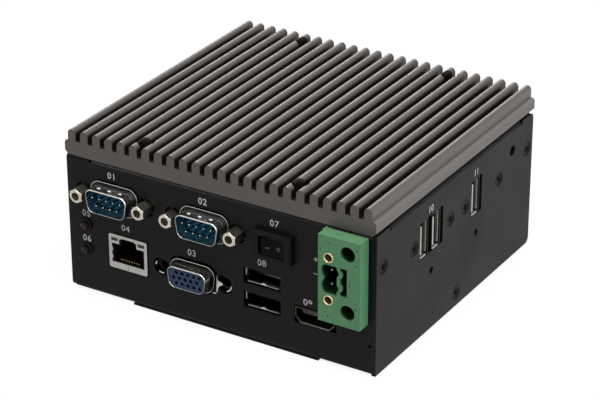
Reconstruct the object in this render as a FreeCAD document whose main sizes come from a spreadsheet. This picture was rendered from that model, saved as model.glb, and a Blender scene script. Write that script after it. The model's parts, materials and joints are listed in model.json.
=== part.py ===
import FreeCAD, Part
import math
import os
import Sketcher

# Fanless industrial computer. Millimetres. The origin is the centre of the resting face
# under the bottom cover, +Z is up and the connector panel faces -Y.

Vector = FreeCAD.Vector
Rotation = FreeCAD.Rotation
doc = FreeCAD.newDocument("fanless_industrial_pc")
sheet = doc.addObject("Spreadsheet::Sheet", "sizes")

TABLE = [
    # chassis
    ("case_width", 120.0), ("case_depth", 110.0), ("case_height", 50.6),
    ("plate_thick", 1.5), ("bend_outer", 1.4), ("bend_inner", 0.5), ("flange_deep", 9.0),
    ("flange_inset", 10.2), ("relief_wide", 1.0), ("relief_deep", 1.5),
    ("plate_corner", 2.0), ("side_flange_deep", 7.5), ("side_flange_inset", 9.4),
    ("tab_wide", 8.0), ("tab_high", 12.0), ("tab_low", 33.0),
    # bottom cover and the drive over it
    ("cover_thick", 0.8), ("cover_lap", 0.5), ("cover_end_gap", 0.5), ("cover_shift", 1.8),
    ("cover_bore", 2.6),
    ("ear_wide", 8.0), ("ear_long", 10.0), ("ear_spacing", 76.0),
    ("drive_wide", 69.85), ("drive_long", 100.0), ("drive_high", 7.0),
    ("bay_side_gap", 1.075), ("bay_end_gap", 0.8), ("drive_hole_spacing", 76.6),
    ("drive_hole_high", 3.0), ("bay_notch", 3.0),
    # heatsink
    ("sink_over", 0.5), ("sink_high", 9.4), ("slot_deep", 4.2), ("fin_pitch", 4.957),
    ("fin_wide", 3.0), ("fin_side", 1.5), ("sink_chamfer_wide", 1.4),
    ("sink_chamfer_high", 1.3), ("shoulder_high", 5.1),
    ("sink_screw_x", 29.8), ("sink_screw_in", 4.8), ("recess_wide", 6.2),
    ("recess_floor", 3.2), ("sink_hole", 3.4), ("sink_screw_shift", 0.7),
    # boards
    ("board_thick", 1.6), ("board_top", 12.9), ("board_side_gap", 4.0), ("board_back_gap", 5.4),
    ("board_front", 1.1), ("post_side", 4.0), ("post_front", 15.0), ("post_back", 10.0),
    ("post_wide", 5.0), ("post_hole", 3.3), ("upper_top", 32.3), ("upper_short", 18.0),
    ("upper_long", 28.0), ("upper_post_in", 21.5), ("upper_post_left", 31.0),
    ("upper_post_right", 2.5),
    # processor and its way to the heatsink
    ("block_wide", 36.0), ("block_x", 14.0), ("block_y", 0.0), ("pad_thick", 0.5),
    ("chip_wide", 24.0), ("chip_high", 1.4), ("block_hole_spacing", 28.0),
    ("block_foot_wide", 5.0),
    # serial ports, male shells with the wide side up
    ("serial_in", 19.4), ("serial_spacing", 36.0), ("serial_z", 38.8),
    ("male_wide", 16.92), ("male_high", 8.36), ("serial_proud", 5.6),
    ("collar_wide", 18.7), ("collar_high", 10.1), ("collar_proud", 0.55),
    ("shell_skin", 0.45), ("ear_hole_spacing", 24.99), ("flange_ear", 2.905),
    ("flange_high", 12.5), ("flange_thick", 0.8), ("jack_flat", 4.75), ("jack_proud", 5.3),
    ("jack_hole", 1.45), ("ear_cut", 3.4), ("panel_d_wide", 19.9), ("panel_d_high", 11.5),
    # video port, female shell
    ("video_in", 50.3), ("video_z", 18.5), ("female_wide", 16.33), ("female_high", 7.9),
    ("video_proud", 4.5),
    # network jack
    ("net_in", 24.23), ("net_z", 19.28), ("net_wide", 15.5), ("net_high", 12.7),
    ("net_deep", 21.0), ("net_proud", 0.4), ("net_skin", 0.3),
    # status lights
    ("light_in", 7.0), ("light_upper_z", 26.1), ("light_lower_z", 16.9),
    ("light_lens", 1.5), ("light_ring", 2.45), ("light_hole", 4.4), ("light_proud", 2.1),
    # power rocker
    ("rocker_in", 37.8), ("rocker_z", 38.4), ("bezel_wide", 14.6), ("bezel_high", 10.1),
    ("bezel_proud", 2.4), ("rocker_wide", 9.3), ("rocker_high", 6.5), ("rocker_gap", 0.15),
    ("rocker_valley", 0.83),
    # stacked ports in the front
    ("stack_in", 42.8), ("stack_z", 19.85), ("stack_wide", 13.2), ("stack_high", 13.9),
    ("stack_pitch", 8.95), ("usb_wide", 12.4), ("usb_high", 4.6), ("usb_deep", 14.0),
    ("stack_back_off", 0.1), ("stack_window_wide", 14.3), ("stack_window_high", 5.8),
    # digital video port
    ("screen_in", 22.5), ("screen_wide", 15.0), ("screen_high", 5.6),
    # power terminal
    ("term_in", 10.6), ("term_z", 34.8), ("term_wide", 15.4), ("term_high", 31.0),
    ("term_proud", 5.4), ("term_back", 7.0), ("insert_spacing", 15.24), ("insert_off", 3.9),
    ("insert_z", 35.02), ("insert_wide", 3.6), ("guide_off", 3.1), ("guide_low", 24.6),
    ("guide_high", 45.5), ("guide_wide", 5.4), ("pin_spacing", 5.08), ("pin_off", 3.0),
    ("pin_z", 35.82), ("pin_wide", 1.0), ("key_wide", 1.7), ("key_high", 9.6),
    # ports and screws in the right side
    ("side_pair_y", 19.4), ("side_pair_pitch", 8.2), ("side_one_y", 12.45),
    ("side_port_z", 37.0), ("side_shell_wide", 5.7), ("side_shell_high", 13.1),
    ("side_board_in", 17.1), ("side_board_low", 28.6), ("side_board_high", 44.6),
    ("side_screw_z", 36.0), ("side_screw_a", 30.3), ("side_screw_b", 5.5),
    ("side_screw_c", 5.1), ("side_screw_d", 29.7), ("corner_screw_in", 4.4),
    ("corner_screw_z", 39.0), ("low_screw_z", 5.8), ("screw_head", 5.4), ("screw_rod", 3.0),
    ("thread_gap", 0.05), ("side_screw_long", 3.6), ("tap_bore", 3.1),
    # small holes in the right side
    ("small_hole", 2.5), ("small_hole_a", 13.4), ("small_hole_b", 18.3),
    ("small_hole_z", 22.9), ("cable_hole", 3.8), ("cable_hole_y", 39.4),
    ("cable_hole_z", 42.9),
    # wall bracket nuts
    ("bracket_x", 48.0), ("bracket_y", 30.0),
    # parts on the mainboard, measured from its sides and its middle
    ("memory_in", 4.0), ("memory_long", 72.0), ("cell_in", 12.5), ("cell_y", 25.0),
    ("cell_wide", 20.0), ("cell_high", 3.2), ("cell_seat", 1.2), ("holder_wide", 23.0),
    ("holder_high", 4.6), ("cell_gap", 0.1), ("can_wide", 6.3), ("can_high", 5.8),
    ("coil_wide", 7.0), ("coil_high", 4.0), ("stacker_thick", 2.6), ("stacker_long", 22.0),
]


class Size:
    """A number together with the spreadsheet formula that gives it."""

    def __init__(self, value, formula):
        self.value = value
        self.formula = formula

    def __add__(self, other):
        return Size(self.value + number(other), "(" + self.formula + " + " + words(other) + ")")

    def __radd__(self, other):
        return Size(number(other) + self.value, "(" + words(other) + " + " + self.formula + ")")

    def __sub__(self, other):
        return Size(self.value - number(other), "(" + self.formula + " - " + words(other) + ")")

    def __rsub__(self, other):
        return Size(number(other) - self.value, "(" + words(other) + " - " + self.formula + ")")

    def __mul__(self, other):
        return Size(self.value * number(other), "(" + self.formula + " * " + words(other) + ")")

    def __rmul__(self, other):
        return Size(number(other) * self.value, "(" + words(other) + " * " + self.formula + ")")

    def __truediv__(self, other):
        return Size(self.value / number(other), "(" + self.formula + " / " + words(other) + ")")

    def __neg__(self):
        return Size(-self.value, "(0 - " + self.formula + ")")


def number(item):
    return item.value if isinstance(item, Size) else float(item)


def words(item):
    if isinstance(item, Size):
        return item.formula
    value = round(float(item), 6)
    return "(0 - " + repr(-value) + ")" if value < 0 else repr(value)


def bind(thing, prop, item):
    thing.setExpression(prop, words(item))


class Table:
    pass


S = Table()
for row, (alias, value) in enumerate(TABLE, start=1):
    sheet.set("A" + str(row), alias.replace("_", " "))
    sheet.set("B" + str(row), str(value))
    sheet.setAlias("B" + str(row), alias)
    setattr(S, alias, Size(value, "sizes." + alias))
doc.recompute()

PLANES = {"XY": ("XY_Plane", 1, 1), "XZ": ("XZ_Plane", -1, -1), "YZ": ("YZ_Plane", 1, 1)}


def body_of(name):
    body = doc.addObject("PartDesign::Body", name)
    body.Label = name
    return body


def sketch_on(body, name, plane, at=0.0):
    """An empty sketch on a plane of the body, moved to the coordinate at."""
    sketch = body.newObject("Sketcher::SketchObject", name)
    role, sign, _ = PLANES[plane]
    face = [item for item in body.Origin.OriginFeatures if item.Role == role][0]
    sketch.AttachmentSupport = (face, "")
    sketch.MapMode = "FlatFace"
    bind(sketch, "AttachmentOffset.Base.z", at if sign > 0 else 0 - at)
    return sketch


def pin_point(sketch, index, end, u, v):
    first = sketch.addConstraint(Sketcher.Constraint("DistanceX", -1, 1, index, end, number(u)))
    bind(sketch, "Constraints[" + str(first) + "]", u)
    second = sketch.addConstraint(Sketcher.Constraint("DistanceY", -1, 1, index, end, number(v)))
    bind(sketch, "Constraints[" + str(second) + "]", v)


def outline(sketch, points):
    """A closed outline of straight lines, every corner tied to the sheet."""
    flat = [Vector(number(u), number(v), 0) for u, v in points]
    lines = []
    for index, start in enumerate(flat):
        end = flat[(index + 1) % len(flat)]
        lines.append(sketch.addGeometry(Part.LineSegment(start, end), False))
    for index, line in enumerate(lines):
        after = lines[(index + 1) % len(lines)]
        sketch.addConstraint(Sketcher.Constraint("Coincident", line, 2, after, 1))
    for line, (u, v) in zip(lines, points):
        pin_point(sketch, line, 1, u, v)


def window(sketch, u, v, wide, high):
    """A rectangle round the centre u, v."""
    outline(sketch, [(u - wide / 2, v - high / 2), (u + wide / 2, v - high / 2),
                     (u + wide / 2, v + high / 2), (u - wide / 2, v + high / 2)])


def disc(sketch, u, v, radius):
    circle = Part.Circle(Vector(number(u), number(v), 0), Vector(0, 0, 1), number(radius))
    index = sketch.addGeometry(circle, False)
    row = sketch.addConstraint(Sketcher.Constraint("Radius", index, number(radius)))
    bind(sketch, "Constraints[" + str(row) + "]", radius)
    pin_point(sketch, index, 3, u, v)


def d_shape(sketch, u, v, wide, high, radius, lean=10.0):
    """The rounded outline of a D connector: its sides lean in towards the foot.

    With no lean it is a rectangle with rounded corners.
    """
    slope = math.tan(math.radians(lean))
    reach = 1.0 / math.cos(math.radians(lean))
    top_x = wide / 2 - radius * (slope + reach)
    low_x = wide / 2 - (high - radius) * slope - radius * reach
    top_z = v + high / 2 - radius
    low_z = v - high / 2 + radius
    size = number(radius)
    tilt_up = math.radians(lean)
    spots = [(u + low_x, low_z, -math.pi / 2, -tilt_up),
             (u + top_x, top_z, -tilt_up, math.pi / 2),
             (u - top_x, top_z, math.pi / 2, math.pi + tilt_up),
             (u - low_x, low_z, math.pi + tilt_up, 1.5 * math.pi)]
    arcs = []
    ends = []
    for x, z, start, stop in spots:
        centre = Vector(number(x), number(z), 0)
        circle = Part.Circle(centre, Vector(0, 0, 1), size)
        arc = sketch.addGeometry(Part.ArcOfCircle(circle, start, stop), False)
        first = centre + Vector(math.cos(start), math.sin(start), 0) * size
        last = centre + Vector(math.cos(stop), math.sin(stop), 0) * size
        arcs.append(arc)
        ends.append((first, last))
        row = sketch.addConstraint(Sketcher.Constraint("Radius", arc, size))
        bind(sketch, "Constraints[" + str(row) + "]", radius)
        pin_point(sketch, arc, 3, x, z)
    for index, arc in enumerate(arcs):
        after = (index + 1) % 4
        line = sketch.addGeometry(Part.LineSegment(ends[index][1], ends[after][0]), False)
        sketch.addConstraint(Sketcher.Constraint("Tangent", arc, 2, line, 1))
        sketch.addConstraint(Sketcher.Constraint("Tangent", line, 2, arcs[after], 1))


def pad(body, sketch, name, length, plane, toward):
    made = body.newObject("PartDesign::Pad", name)
    made.Profile = sketch
    bind(made, "Length", length)
    made.Reversed = PLANES[plane][1] * toward < 0
    doc.recompute()
    return made


def pocket(body, sketch, name, length, plane, toward):
    made = body.newObject("PartDesign::Pocket", name)
    made.Profile = sketch
    bind(made, "Length", length)
    made.Reversed = PLANES[plane][1] * toward > 0
    doc.recompute()
    return made


def edges_where(feature, test):
    names = []
    for index, edge in enumerate(feature.Shape.Edges, start=1):
        if test(edge):
            names.append("Edge" + str(index))
    if not names:
        raise RuntimeError("no edge found on " + feature.Label)
    return names


def along(edge, axis):
    """True for a straight edge that runs along the axis 0, 1 or 2."""
    if not isinstance(edge.Curve, Part.Line):
        return False
    return abs(abs(edge.Curve.Direction[axis]) - 1.0) < 1e-6


def near(edge, axis, value, slack=0.02):
    return abs(edge.CenterOfMass[axis] - number(value)) < slack


def rounded(body, feature, name, radius, test):
    made = body.newObject("PartDesign::Fillet", name)
    made.Base = (feature, edges_where(feature, test))
    bind(made, "Radius", radius)
    doc.recompute()
    return made


def bevelled(body, feature, name, size, test):
    made = body.newObject("PartDesign::Chamfer", name)
    made.Base = (feature, edges_where(feature, test))
    bind(made, "Size", size)
    doc.recompute()
    return made


def place(thing, x, y, z):
    bind(thing, "Placement.Base.x", x)
    bind(thing, "Placement.Base.y", y)
    bind(thing, "Placement.Base.z", z)


def box(name, x0, x1, y0, y1, z0, z1):
    made = doc.addObject("Part::Box", name)
    made.Label = name
    bind(made, "Length", x1 - x0)
    bind(made, "Width", y1 - y0)
    bind(made, "Height", z1 - z0)
    place(made, x0, y0, z0)
    return made


TURN = {"+x": Rotation(Vector(0, 1, 0), 90), "-x": Rotation(Vector(0, 1, 0), -90),
        "+y": Rotation(Vector(1, 0, 0), -90), "-y": Rotation(Vector(1, 0, 0), 90),
        "+z": Rotation(), "-z": Rotation(Vector(1, 0, 0), 180)}


def rod(name, x, y, z, radius, length, way):
    """A cylinder from x, y, z along way."""
    made = doc.addObject("Part::Cylinder", name)
    made.Label = name
    bind(made, "Radius", radius)
    bind(made, "Height", length)
    made.Placement = FreeCAD.Placement(Vector(0, 0, 0), TURN[way])
    place(made, x, y, z)
    return made


def joined(name, parts):
    made = doc.addObject("Part::MultiFuse", name)
    made.Shapes = parts
    made.Label = name
    return made


def cut_out(name, base, tools):
    tool = tools[0]
    if len(tools) > 1:
        tool = joined(name + "_tools", tools)
    made = doc.addObject("Part::Cut", name)
    made.Base = base
    made.Tool = tool
    made.Label = name
    return made


def group(name, parts):
    made = doc.addObject("Part::Compound", name)
    made.Links = parts
    made.Label = name
    return made


def turned(name, points):
    """A turned piece round the Z axis from its (radius, height) points."""
    body = body_of(name)
    sketch = sketch_on(body, name + "_profile", "XZ")
    outline(sketch, points)
    made = body.newObject("PartDesign::Revolution", name + "_turned")
    made.Profile = sketch
    made.ReferenceAxis = (sketch, ["V_Axis"])
    made.Angle = 360
    body.Tip = made
    return body


def copies(name, source, places):
    """One group of separate solids: the source repeated at (x, y, z, way)."""
    links = []
    for index, (x, y, z, way) in enumerate(places, start=1):
        link = doc.addObject("App::Link", name + "_" + str(index))
        link.LinkedObject = source
        link.Placement = FreeCAD.Placement(Vector(0, 0, 0), TURN[way])
        place(link, x, y, z)
        links.append(link)
    return group(name, links)


# Places that several pieces share.
half_wide = S.case_width / 2
half_deep = S.case_depth / 2

# Places measured from the ends of the case and from its boards, so that they follow them.
S.serial_x = half_wide - S.serial_in
S.video_x = half_wide - S.video_in
S.net_x = half_wide - S.net_in
S.light_x = half_wide - S.light_in
S.rocker_x = half_wide - S.rocker_in
S.stack_x = half_wide - S.stack_in
S.screen_x = half_wide - S.screen_in
S.term_x = half_wide - S.term_in
S.insert_x = S.term_x - S.insert_off
S.guide_x = S.term_x + S.guide_off
S.pin_x = S.term_x - S.pin_off
S.side_board_x = half_wide - S.side_board_in
S.corner_screw_y = half_deep - S.corner_screw_in
S.sink_long = S.case_depth + S.sink_over * 2
S.sink_screw_y = half_deep - S.sink_screw_in
S.cover_long = S.case_depth - S.cover_end_gap * 2
S.bay_wide = S.drive_wide + S.bay_side_gap * 2
S.bay_long = S.drive_long + S.bay_end_gap * 2
S.cover_wide = S.bay_wide + S.cover_lap * 2
S.board_wide = S.case_width - S.board_side_gap * 2
S.board_long = S.case_depth - S.plate_thick - S.board_front - S.board_back_gap
S.post_x = S.board_wide / 2 - S.post_side
S.flange_wide = S.ear_hole_spacing + S.flange_ear * 2
S.upper_left = S.board_wide / 2
S.upper_right = S.board_wide / 2 - S.upper_short
floor_low = S.cover_thick
floor_top = floor_low + S.plate_thick
case_top = floor_low + S.case_height
roof_low = case_top - S.plate_thick
inner_x = half_wide - S.plate_thick
panel_face = 0 - half_deep
panel_back = panel_face + S.plate_thick
board_low = S.board_top - S.board_thick
upper_low = S.upper_top - S.board_thick
screen_z = S.board_top + S.screen_high / 2
serial_left = 0 - S.serial_x
serial_right = serial_left + S.serial_spacing

NODES = []


def node(thing):
    NODES.append(thing)
    return thing


# ---------------------------------------------------------------- heatsink
sink = body_of("heatsink")
sink_sketch = sketch_on(sink, "sink_profile", "XZ", 0 - S.sink_long / 2)
slot_floor = case_top + S.sink_high - S.slot_deep
shoulder = case_top + S.sink_high - S.shoulder_high
outline(sink_sketch, [
    (0 - half_wide + S.sink_chamfer_wide, case_top), (half_wide - S.sink_chamfer_wide, case_top),
    (half_wide, case_top + S.sink_chamfer_high), (half_wide, shoulder),
    (half_wide - 0.35, shoulder + 0.6), (half_wide - 1.1, slot_floor),
    (1.1 - half_wide, slot_floor), (0.35 - half_wide, shoulder + 0.6),
    (0 - half_wide, shoulder), (0 - half_wide, case_top + S.sink_chamfer_high)])
sink_base = pad(sink, sink_sketch, "sink_base", S.sink_long, "XZ", 1)

fin_sketch = sketch_on(sink, "fin_profile", "XZ", 0 - S.sink_long / 2)
fin_x = 0 - half_wide + S.fin_side + S.fin_wide / 2
fin_left = fin_x - S.fin_wide / 2
fin_right = fin_x + S.fin_wide / 2
fin_round = S.fin_wide / 2
arc_z = case_top + S.sink_high - fin_round
foot_z = slot_floor - 0.4
add = fin_sketch.addGeometry
tie = fin_sketch.addConstraint
left = add(Part.LineSegment(Vector(number(fin_left), number(arc_z), 0),
                            Vector(number(fin_left), number(foot_z), 0)), False)
foot = add(Part.LineSegment(Vector(number(fin_left), number(foot_z), 0),
                            Vector(number(fin_right), number(foot_z), 0)), False)
right = add(Part.LineSegment(Vector(number(fin_right), number(foot_z), 0),
                             Vector(number(fin_right), number(arc_z), 0)), False)
arch = add(Part.ArcOfCircle(Part.Circle(Vector(number(fin_x), number(arc_z), 0),
                                        Vector(0, 0, 1), number(fin_round)), 0, math.pi), False)
tie(Sketcher.Constraint("Coincident", left, 2, foot, 1))
tie(Sketcher.Constraint("Coincident", foot, 2, right, 1))
tie(Sketcher.Constraint("Coincident", right, 2, arch, 1))
tie(Sketcher.Constraint("Coincident", arch, 2, left, 1))
tie(Sketcher.Constraint("Vertical", left))
tie(Sketcher.Constraint("Vertical", right))
tie(Sketcher.Constraint("Horizontal", foot))
row = tie(Sketcher.Constraint("Radius", arch, number(fin_round)))
bind(fin_sketch, "Constraints[" + str(row) + "]", fin_round)
pin_point(fin_sketch, arch, 3, fin_x, arc_z)
row = tie(Sketcher.Constraint("DistanceY", -1, 1, foot, 1, number(foot_z)))
bind(fin_sketch, "Constraints[" + str(row) + "]", foot_z)
tie(Sketcher.Constraint("Horizontal", arch, 1, arch, 3))
tie(Sketcher.Constraint("Horizontal", arch, 2, arch, 3))
fin = pad(sink, fin_sketch, "fin", S.sink_long, "XZ", 1)

fins = sink.newObject("PartDesign::LinearPattern", "fins")
fins.Originals = [fin]
fins.Direction = (fin_sketch, ["H_Axis"])
fin_room = words((S.case_width - S.fin_side * 2 - S.fin_wide) / S.fin_pitch + 0.1)
bind(fins, "Length", S.fin_pitch * Size(23.0, "floor(" + fin_room + ")"))
fins.Occurrences = 24
fins.setExpression("Occurrences", "floor(" + fin_room + ") + 1")
sink.Tip = fins
doc.recompute()

recess_sketch = sketch_on(sink, "recess_places", "XY", case_top + S.sink_high)
hole_sketch = sketch_on(sink, "sink_hole_places", "XY", case_top + S.sink_high)
SINK_SCREWS = []
for side_x in (-1, 1):
    for side_y in (-1, 1):
        SINK_SCREWS.append((S.sink_screw_x * side_x - S.sink_screw_shift,
                            S.sink_screw_y * side_y))
for x, y in SINK_SCREWS:
    disc(recess_sketch, x, y, S.recess_wide / 2)
    disc(hole_sketch, x, y, S.sink_hole / 2)
pocket(sink, recess_sketch, "recesses", S.sink_high - S.recess_floor, "XY", -1)
sink.Tip = pocket(sink, hole_sketch, "sink_holes", S.sink_high + 1, "XY", -1)
node(sink)

sink_screw = turned("sink_screw_source", [
    (0, -5.6), (1.5, -5.6), (1.5, 0), (2.75, 0), (2.75, 1.4), (2.2, 2.0), (1.1, 2.0),
    (1.1, 0.9), (0, 0.9)])
node(copies("heatsink_screws", sink_screw,
            [(x, y, case_top + S.recess_floor, "+z") for x, y in SINK_SCREWS]))

# ---------------------------------------------------------------- folded tray
tray = body_of("chassis_tray")
flange_end = half_deep - S.flange_deep
tray_sketch = sketch_on(tray, "tray_fold", "YZ", 0 - inner_x)
outline(tray_sketch, [
    (panel_face, floor_low), (half_deep, floor_low), (half_deep, case_top),
    (flange_end, case_top), (flange_end, roof_low), (half_deep - S.plate_thick, roof_low),
    (half_deep - S.plate_thick, floor_top), (panel_back, floor_top), (panel_back, roof_low),
    (0 - flange_end, roof_low), (0 - flange_end, case_top), (panel_face, case_top)])
tray_fold = pad(tray, tray_sketch, "tray_folded", inner_x * 2, "YZ", 1)


def outer_bend(edge):
    if not along(edge, 0):
        return False
    at_wall = abs(abs(edge.CenterOfMass.y) - number(half_deep)) < 0.01
    level = edge.CenterOfMass.z
    return at_wall and min(abs(level - number(floor_low)), abs(level - number(case_top))) < 0.01


def inner_bend(edge):
    if not along(edge, 0):
        return False
    at_wall = abs(abs(edge.CenterOfMass.y) - number(half_deep - S.plate_thick)) < 0.01
    level = edge.CenterOfMass.z
    return at_wall and min(abs(level - number(floor_top)), abs(level - number(roof_low))) < 0.01


tray_outer = rounded(tray, tray_fold, "tray_outer_bends", S.bend_outer, outer_bend)
tray_inner = rounded(tray, tray_outer, "tray_inner_bends", S.bend_inner, inner_bend)

# The top flanges stop short of the side plates, with a relief slot beside each bend.
flange_half = half_wide - S.flange_inset
flange_sketch = sketch_on(tray, "flange_ends", "XY", case_top)
for side in (-1, 1):
    near_x = flange_half * side
    far_x = (half_wide + 1) * side
    for front in (-1, 1):
        near_y = (half_deep - S.plate_thick) * front
        far_y = (flange_end - 1) * front
        outline(flange_sketch, [(near_x, near_y), (far_x, near_y), (far_x, far_y),
                                (near_x, far_y)])
pocket(tray, flange_sketch, "flange_stops", S.plate_thick + 0.6, "XY", -1)
relief_sketch = sketch_on(tray, "relief_slots", "XZ", panel_face - 1)
for side in (-1, 1):
    middle = (flange_half + S.relief_wide / 2) * side
    window(relief_sketch, middle, case_top, S.relief_wide, S.relief_deep * 2)
window(relief_sketch, inner_x - 0.6, floor_low + 10.6, Size(1.2, "1.2"), Size(1.0, "1.0"))
for place_x, place_z in ((serial_left, S.serial_z), (serial_right, S.serial_z),
                         (0 - S.video_x, S.video_z)):
    half_ears = S.ear_hole_spacing / 2
    d_shape(relief_sketch, place_x, place_z, S.panel_d_wide, S.panel_d_high, 3.6)
    disc(relief_sketch, place_x - half_ears, place_z, S.ear_cut)
    disc(relief_sketch, place_x + half_ears, place_z, S.ear_cut)
window(relief_sketch, 0 - S.net_x, S.net_z, S.net_wide + 0.5, S.net_high + 0.5)
disc(relief_sketch, 0 - S.light_x, S.light_upper_z, S.light_hole / 2)
disc(relief_sketch, 0 - S.light_x, S.light_lower_z, S.light_hole / 2)
window(relief_sketch, S.rocker_x, S.rocker_z, S.bezel_wide - 1.4, S.bezel_high - 1.4)
for side in (-1, 1):
    window(relief_sketch, S.stack_x, S.stack_z + S.stack_pitch / 2 * side,
           S.stack_window_wide, S.stack_window_high)
window(relief_sketch, S.screen_x, screen_z, S.screen_wide + 0.8, S.screen_high + 0.8)
window(relief_sketch, S.term_x, S.term_z, S.term_wide - 1.8, S.term_high - 2.0)
pocket(tray, relief_sketch, "panel_openings", S.plate_thick + 1.2, "XZ", 1)

# The rear wall repeats the relief slots only.
rear_sketch = sketch_on(tray, "rear_relief_slots", "XZ", half_deep + 1)
for side in (-1, 1):
    middle = (flange_half + S.relief_wide / 2) * side
    window(rear_sketch, middle, case_top, S.relief_wide, S.relief_deep * 2)
pocket(tray, rear_sketch, "rear_slots", S.plate_thick + 1.2, "XZ", -1)

# The floor: the drive bay, its four notches, and the holes for screws, posts and nuts.
floor_sketch = sketch_on(tray, "floor_openings", "XY", floor_low - 1)
bay_left = S.cover_shift - S.bay_wide / 2
bay_right = S.cover_shift + S.bay_wide / 2
bay_end = S.bay_long / 2
notch = S.drive_hole_spacing / 2
half_notch = S.bay_notch
outline(floor_sketch, [
    (bay_left, 0 - bay_end), (bay_right, 0 - bay_end),
    (bay_right, 0 - notch - half_notch), (bay_right + S.bay_notch, 0 - notch - half_notch),
    (bay_right + S.bay_notch, half_notch - notch), (bay_right, half_notch - notch),
    (bay_right, notch - half_notch), (bay_right + S.bay_notch, notch - half_notch),
    (bay_right + S.bay_notch, notch + half_notch), (bay_right, notch + half_notch),
    (bay_right, bay_end), (bay_left, bay_end),
    (bay_left, notch + half_notch), (bay_left - S.bay_notch, notch + half_notch),
    (bay_left - S.bay_notch, notch - half_notch), (bay_left, notch - half_notch),
    (bay_left, half_notch - notch), (bay_left - S.bay_notch, half_notch - notch),
    (bay_left - S.bay_notch, 0 - notch - half_notch), (bay_left, 0 - notch - half_notch)])
EAR_X = (S.cover_shift - S.cover_wide / 2 - S.ear_wide / 2,
         S.cover_shift + S.cover_wide / 2 + S.ear_wide / 2)
EAR_SPOTS = [(x, S.ear_spacing / 2 * side - 15.0 * side) for x in EAR_X for side in (-1, 1)]
for x, y in EAR_SPOTS:
    disc(floor_sketch, x, y, S.cover_bore / 2)
POSTS = [(S.post_x * side, y) for side in (-1, 1) for y in (S.post_front - half_deep,
                                                      half_deep - S.post_back)]
for x, y in POSTS:
    disc(floor_sketch, x, y, S.post_hole / 2)
BRACKET = [(S.bracket_x * side, S.bracket_y * end) for side in (-1, 1) for end in (-1, 1)]
for x, y in BRACKET:
    disc(floor_sketch, x, y, S.tap_bore / 2)
pocket(tray, floor_sketch, "floor_holes", S.plate_thick + 1.2, "XY", 1)

flange_holes = sketch_on(tray, "flange_hole_places", "XY", case_top + 1)
for x, y in SINK_SCREWS:
    disc(flange_holes, x, y, S.tap_bore / 2)
tray_cut = pocket(tray, flange_holes, "flange_holes", S.plate_thick + 1.2, "XY", -1)

# Tabs folded off the walls and the floor, to which the side plates are screwed.
tab_top = S.tab_low + S.tab_high
wall_end = half_deep - S.plate_thick
for word, side in (("right", 1), ("left", -1)):
    tab_x = inner_x if side > 0 else S.plate_thick - inner_x
    tab_sketch = sketch_on(tray, word + "_tabs", "YZ", tab_x)
    outline(tab_sketch, [(0 - wall_end - 0.2, S.tab_low), (0 - wall_end + S.tab_wide, S.tab_low),
                         (0 - wall_end + S.tab_wide, tab_top), (0 - wall_end - 0.2, tab_top)])
    outline(tab_sketch, [(wall_end - S.tab_wide, S.tab_low), (wall_end + 0.2, S.tab_low),
                         (wall_end + 0.2, tab_top), (wall_end - S.tab_wide, tab_top)])
    outline(tab_sketch, [(Size(-6.0, "(0 - 6)"), floor_top - 0.2),
                         (Size(6.0, "6"), floor_top - 0.2),
                         (Size(6.0, "6"), S.low_screw_z + 3.6),
                         (Size(-6.0, "(0 - 6)"), S.low_screw_z + 3.6)])
    pad(tray, tab_sketch, word + "_tab_folds", S.plate_thick, "YZ", -1)
SIDE_FIX = [(0 - S.corner_screw_y, S.corner_screw_z), (S.corner_screw_y, S.corner_screw_z),
            (Size(0.0, "0"), S.low_screw_z)]
tab_holes = sketch_on(tray, "tab_hole_places", "YZ", half_wide)
for y, z in SIDE_FIX:
    disc(tab_holes, y, z, S.screw_rod / 2 + S.thread_gap)
tray.Tip = pocket(tray, tab_holes, "tab_holes", S.case_width, "YZ", -1)
node(tray)

# ---------------------------------------------------------------- side plates
def side_plate(name, side):
    """side is 1 for the right plate, whose rear corners are rounded, -1 for the left."""
    body = body_of(name)
    face_x = half_wide * side
    sketch = sketch_on(body, name + "_face", "YZ", face_x)
    outline(sketch, [(panel_face, floor_low), (half_deep, floor_low), (half_deep, case_top),
                     (panel_face, case_top)])
    plate = pad(body, sketch, name + "_plate", S.plate_thick, "YZ", 0 - side)
    plate = rounded(body, plate, name + "_corners", S.plate_corner,
                    lambda edge: along(edge, 0) and near(edge, 1, half_deep * side))
    flange = sketch_on(body, name + "_flange_place", "XY", case_top)
    reach = half_deep - S.side_flange_inset
    inner = (inner_x - S.side_flange_deep) * side
    outline(flange, [((inner_x + 0.2) * side, 0 - reach), (inner, 0 - reach), (inner, reach),
                     ((inner_x + 0.2) * side, reach)])
    pad(body, flange, name + "_flange", S.plate_thick, "XY", -1)
    slots = sketch_on(body, name + "_slots", "YZ", (half_wide + 1) * side)
    for end in (-1, 1):
        window(slots, (reach + S.relief_wide / 2) * end, case_top, S.relief_wide,
               S.relief_deep * 2)
    return body, slots, reach


def fold_edge(body, feature, name, side, reach):
    """Rounds the bend between the plate and its top flange."""
    def test(edge):
        if not along(edge, 1) or not near(edge, 2, case_top):
            return False
        return near(edge, 0, half_wide * side) and abs(edge.CenterOfMass.y) < 1.0
    return rounded(body, feature, name + "_bend", S.bend_outer, test)


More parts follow.
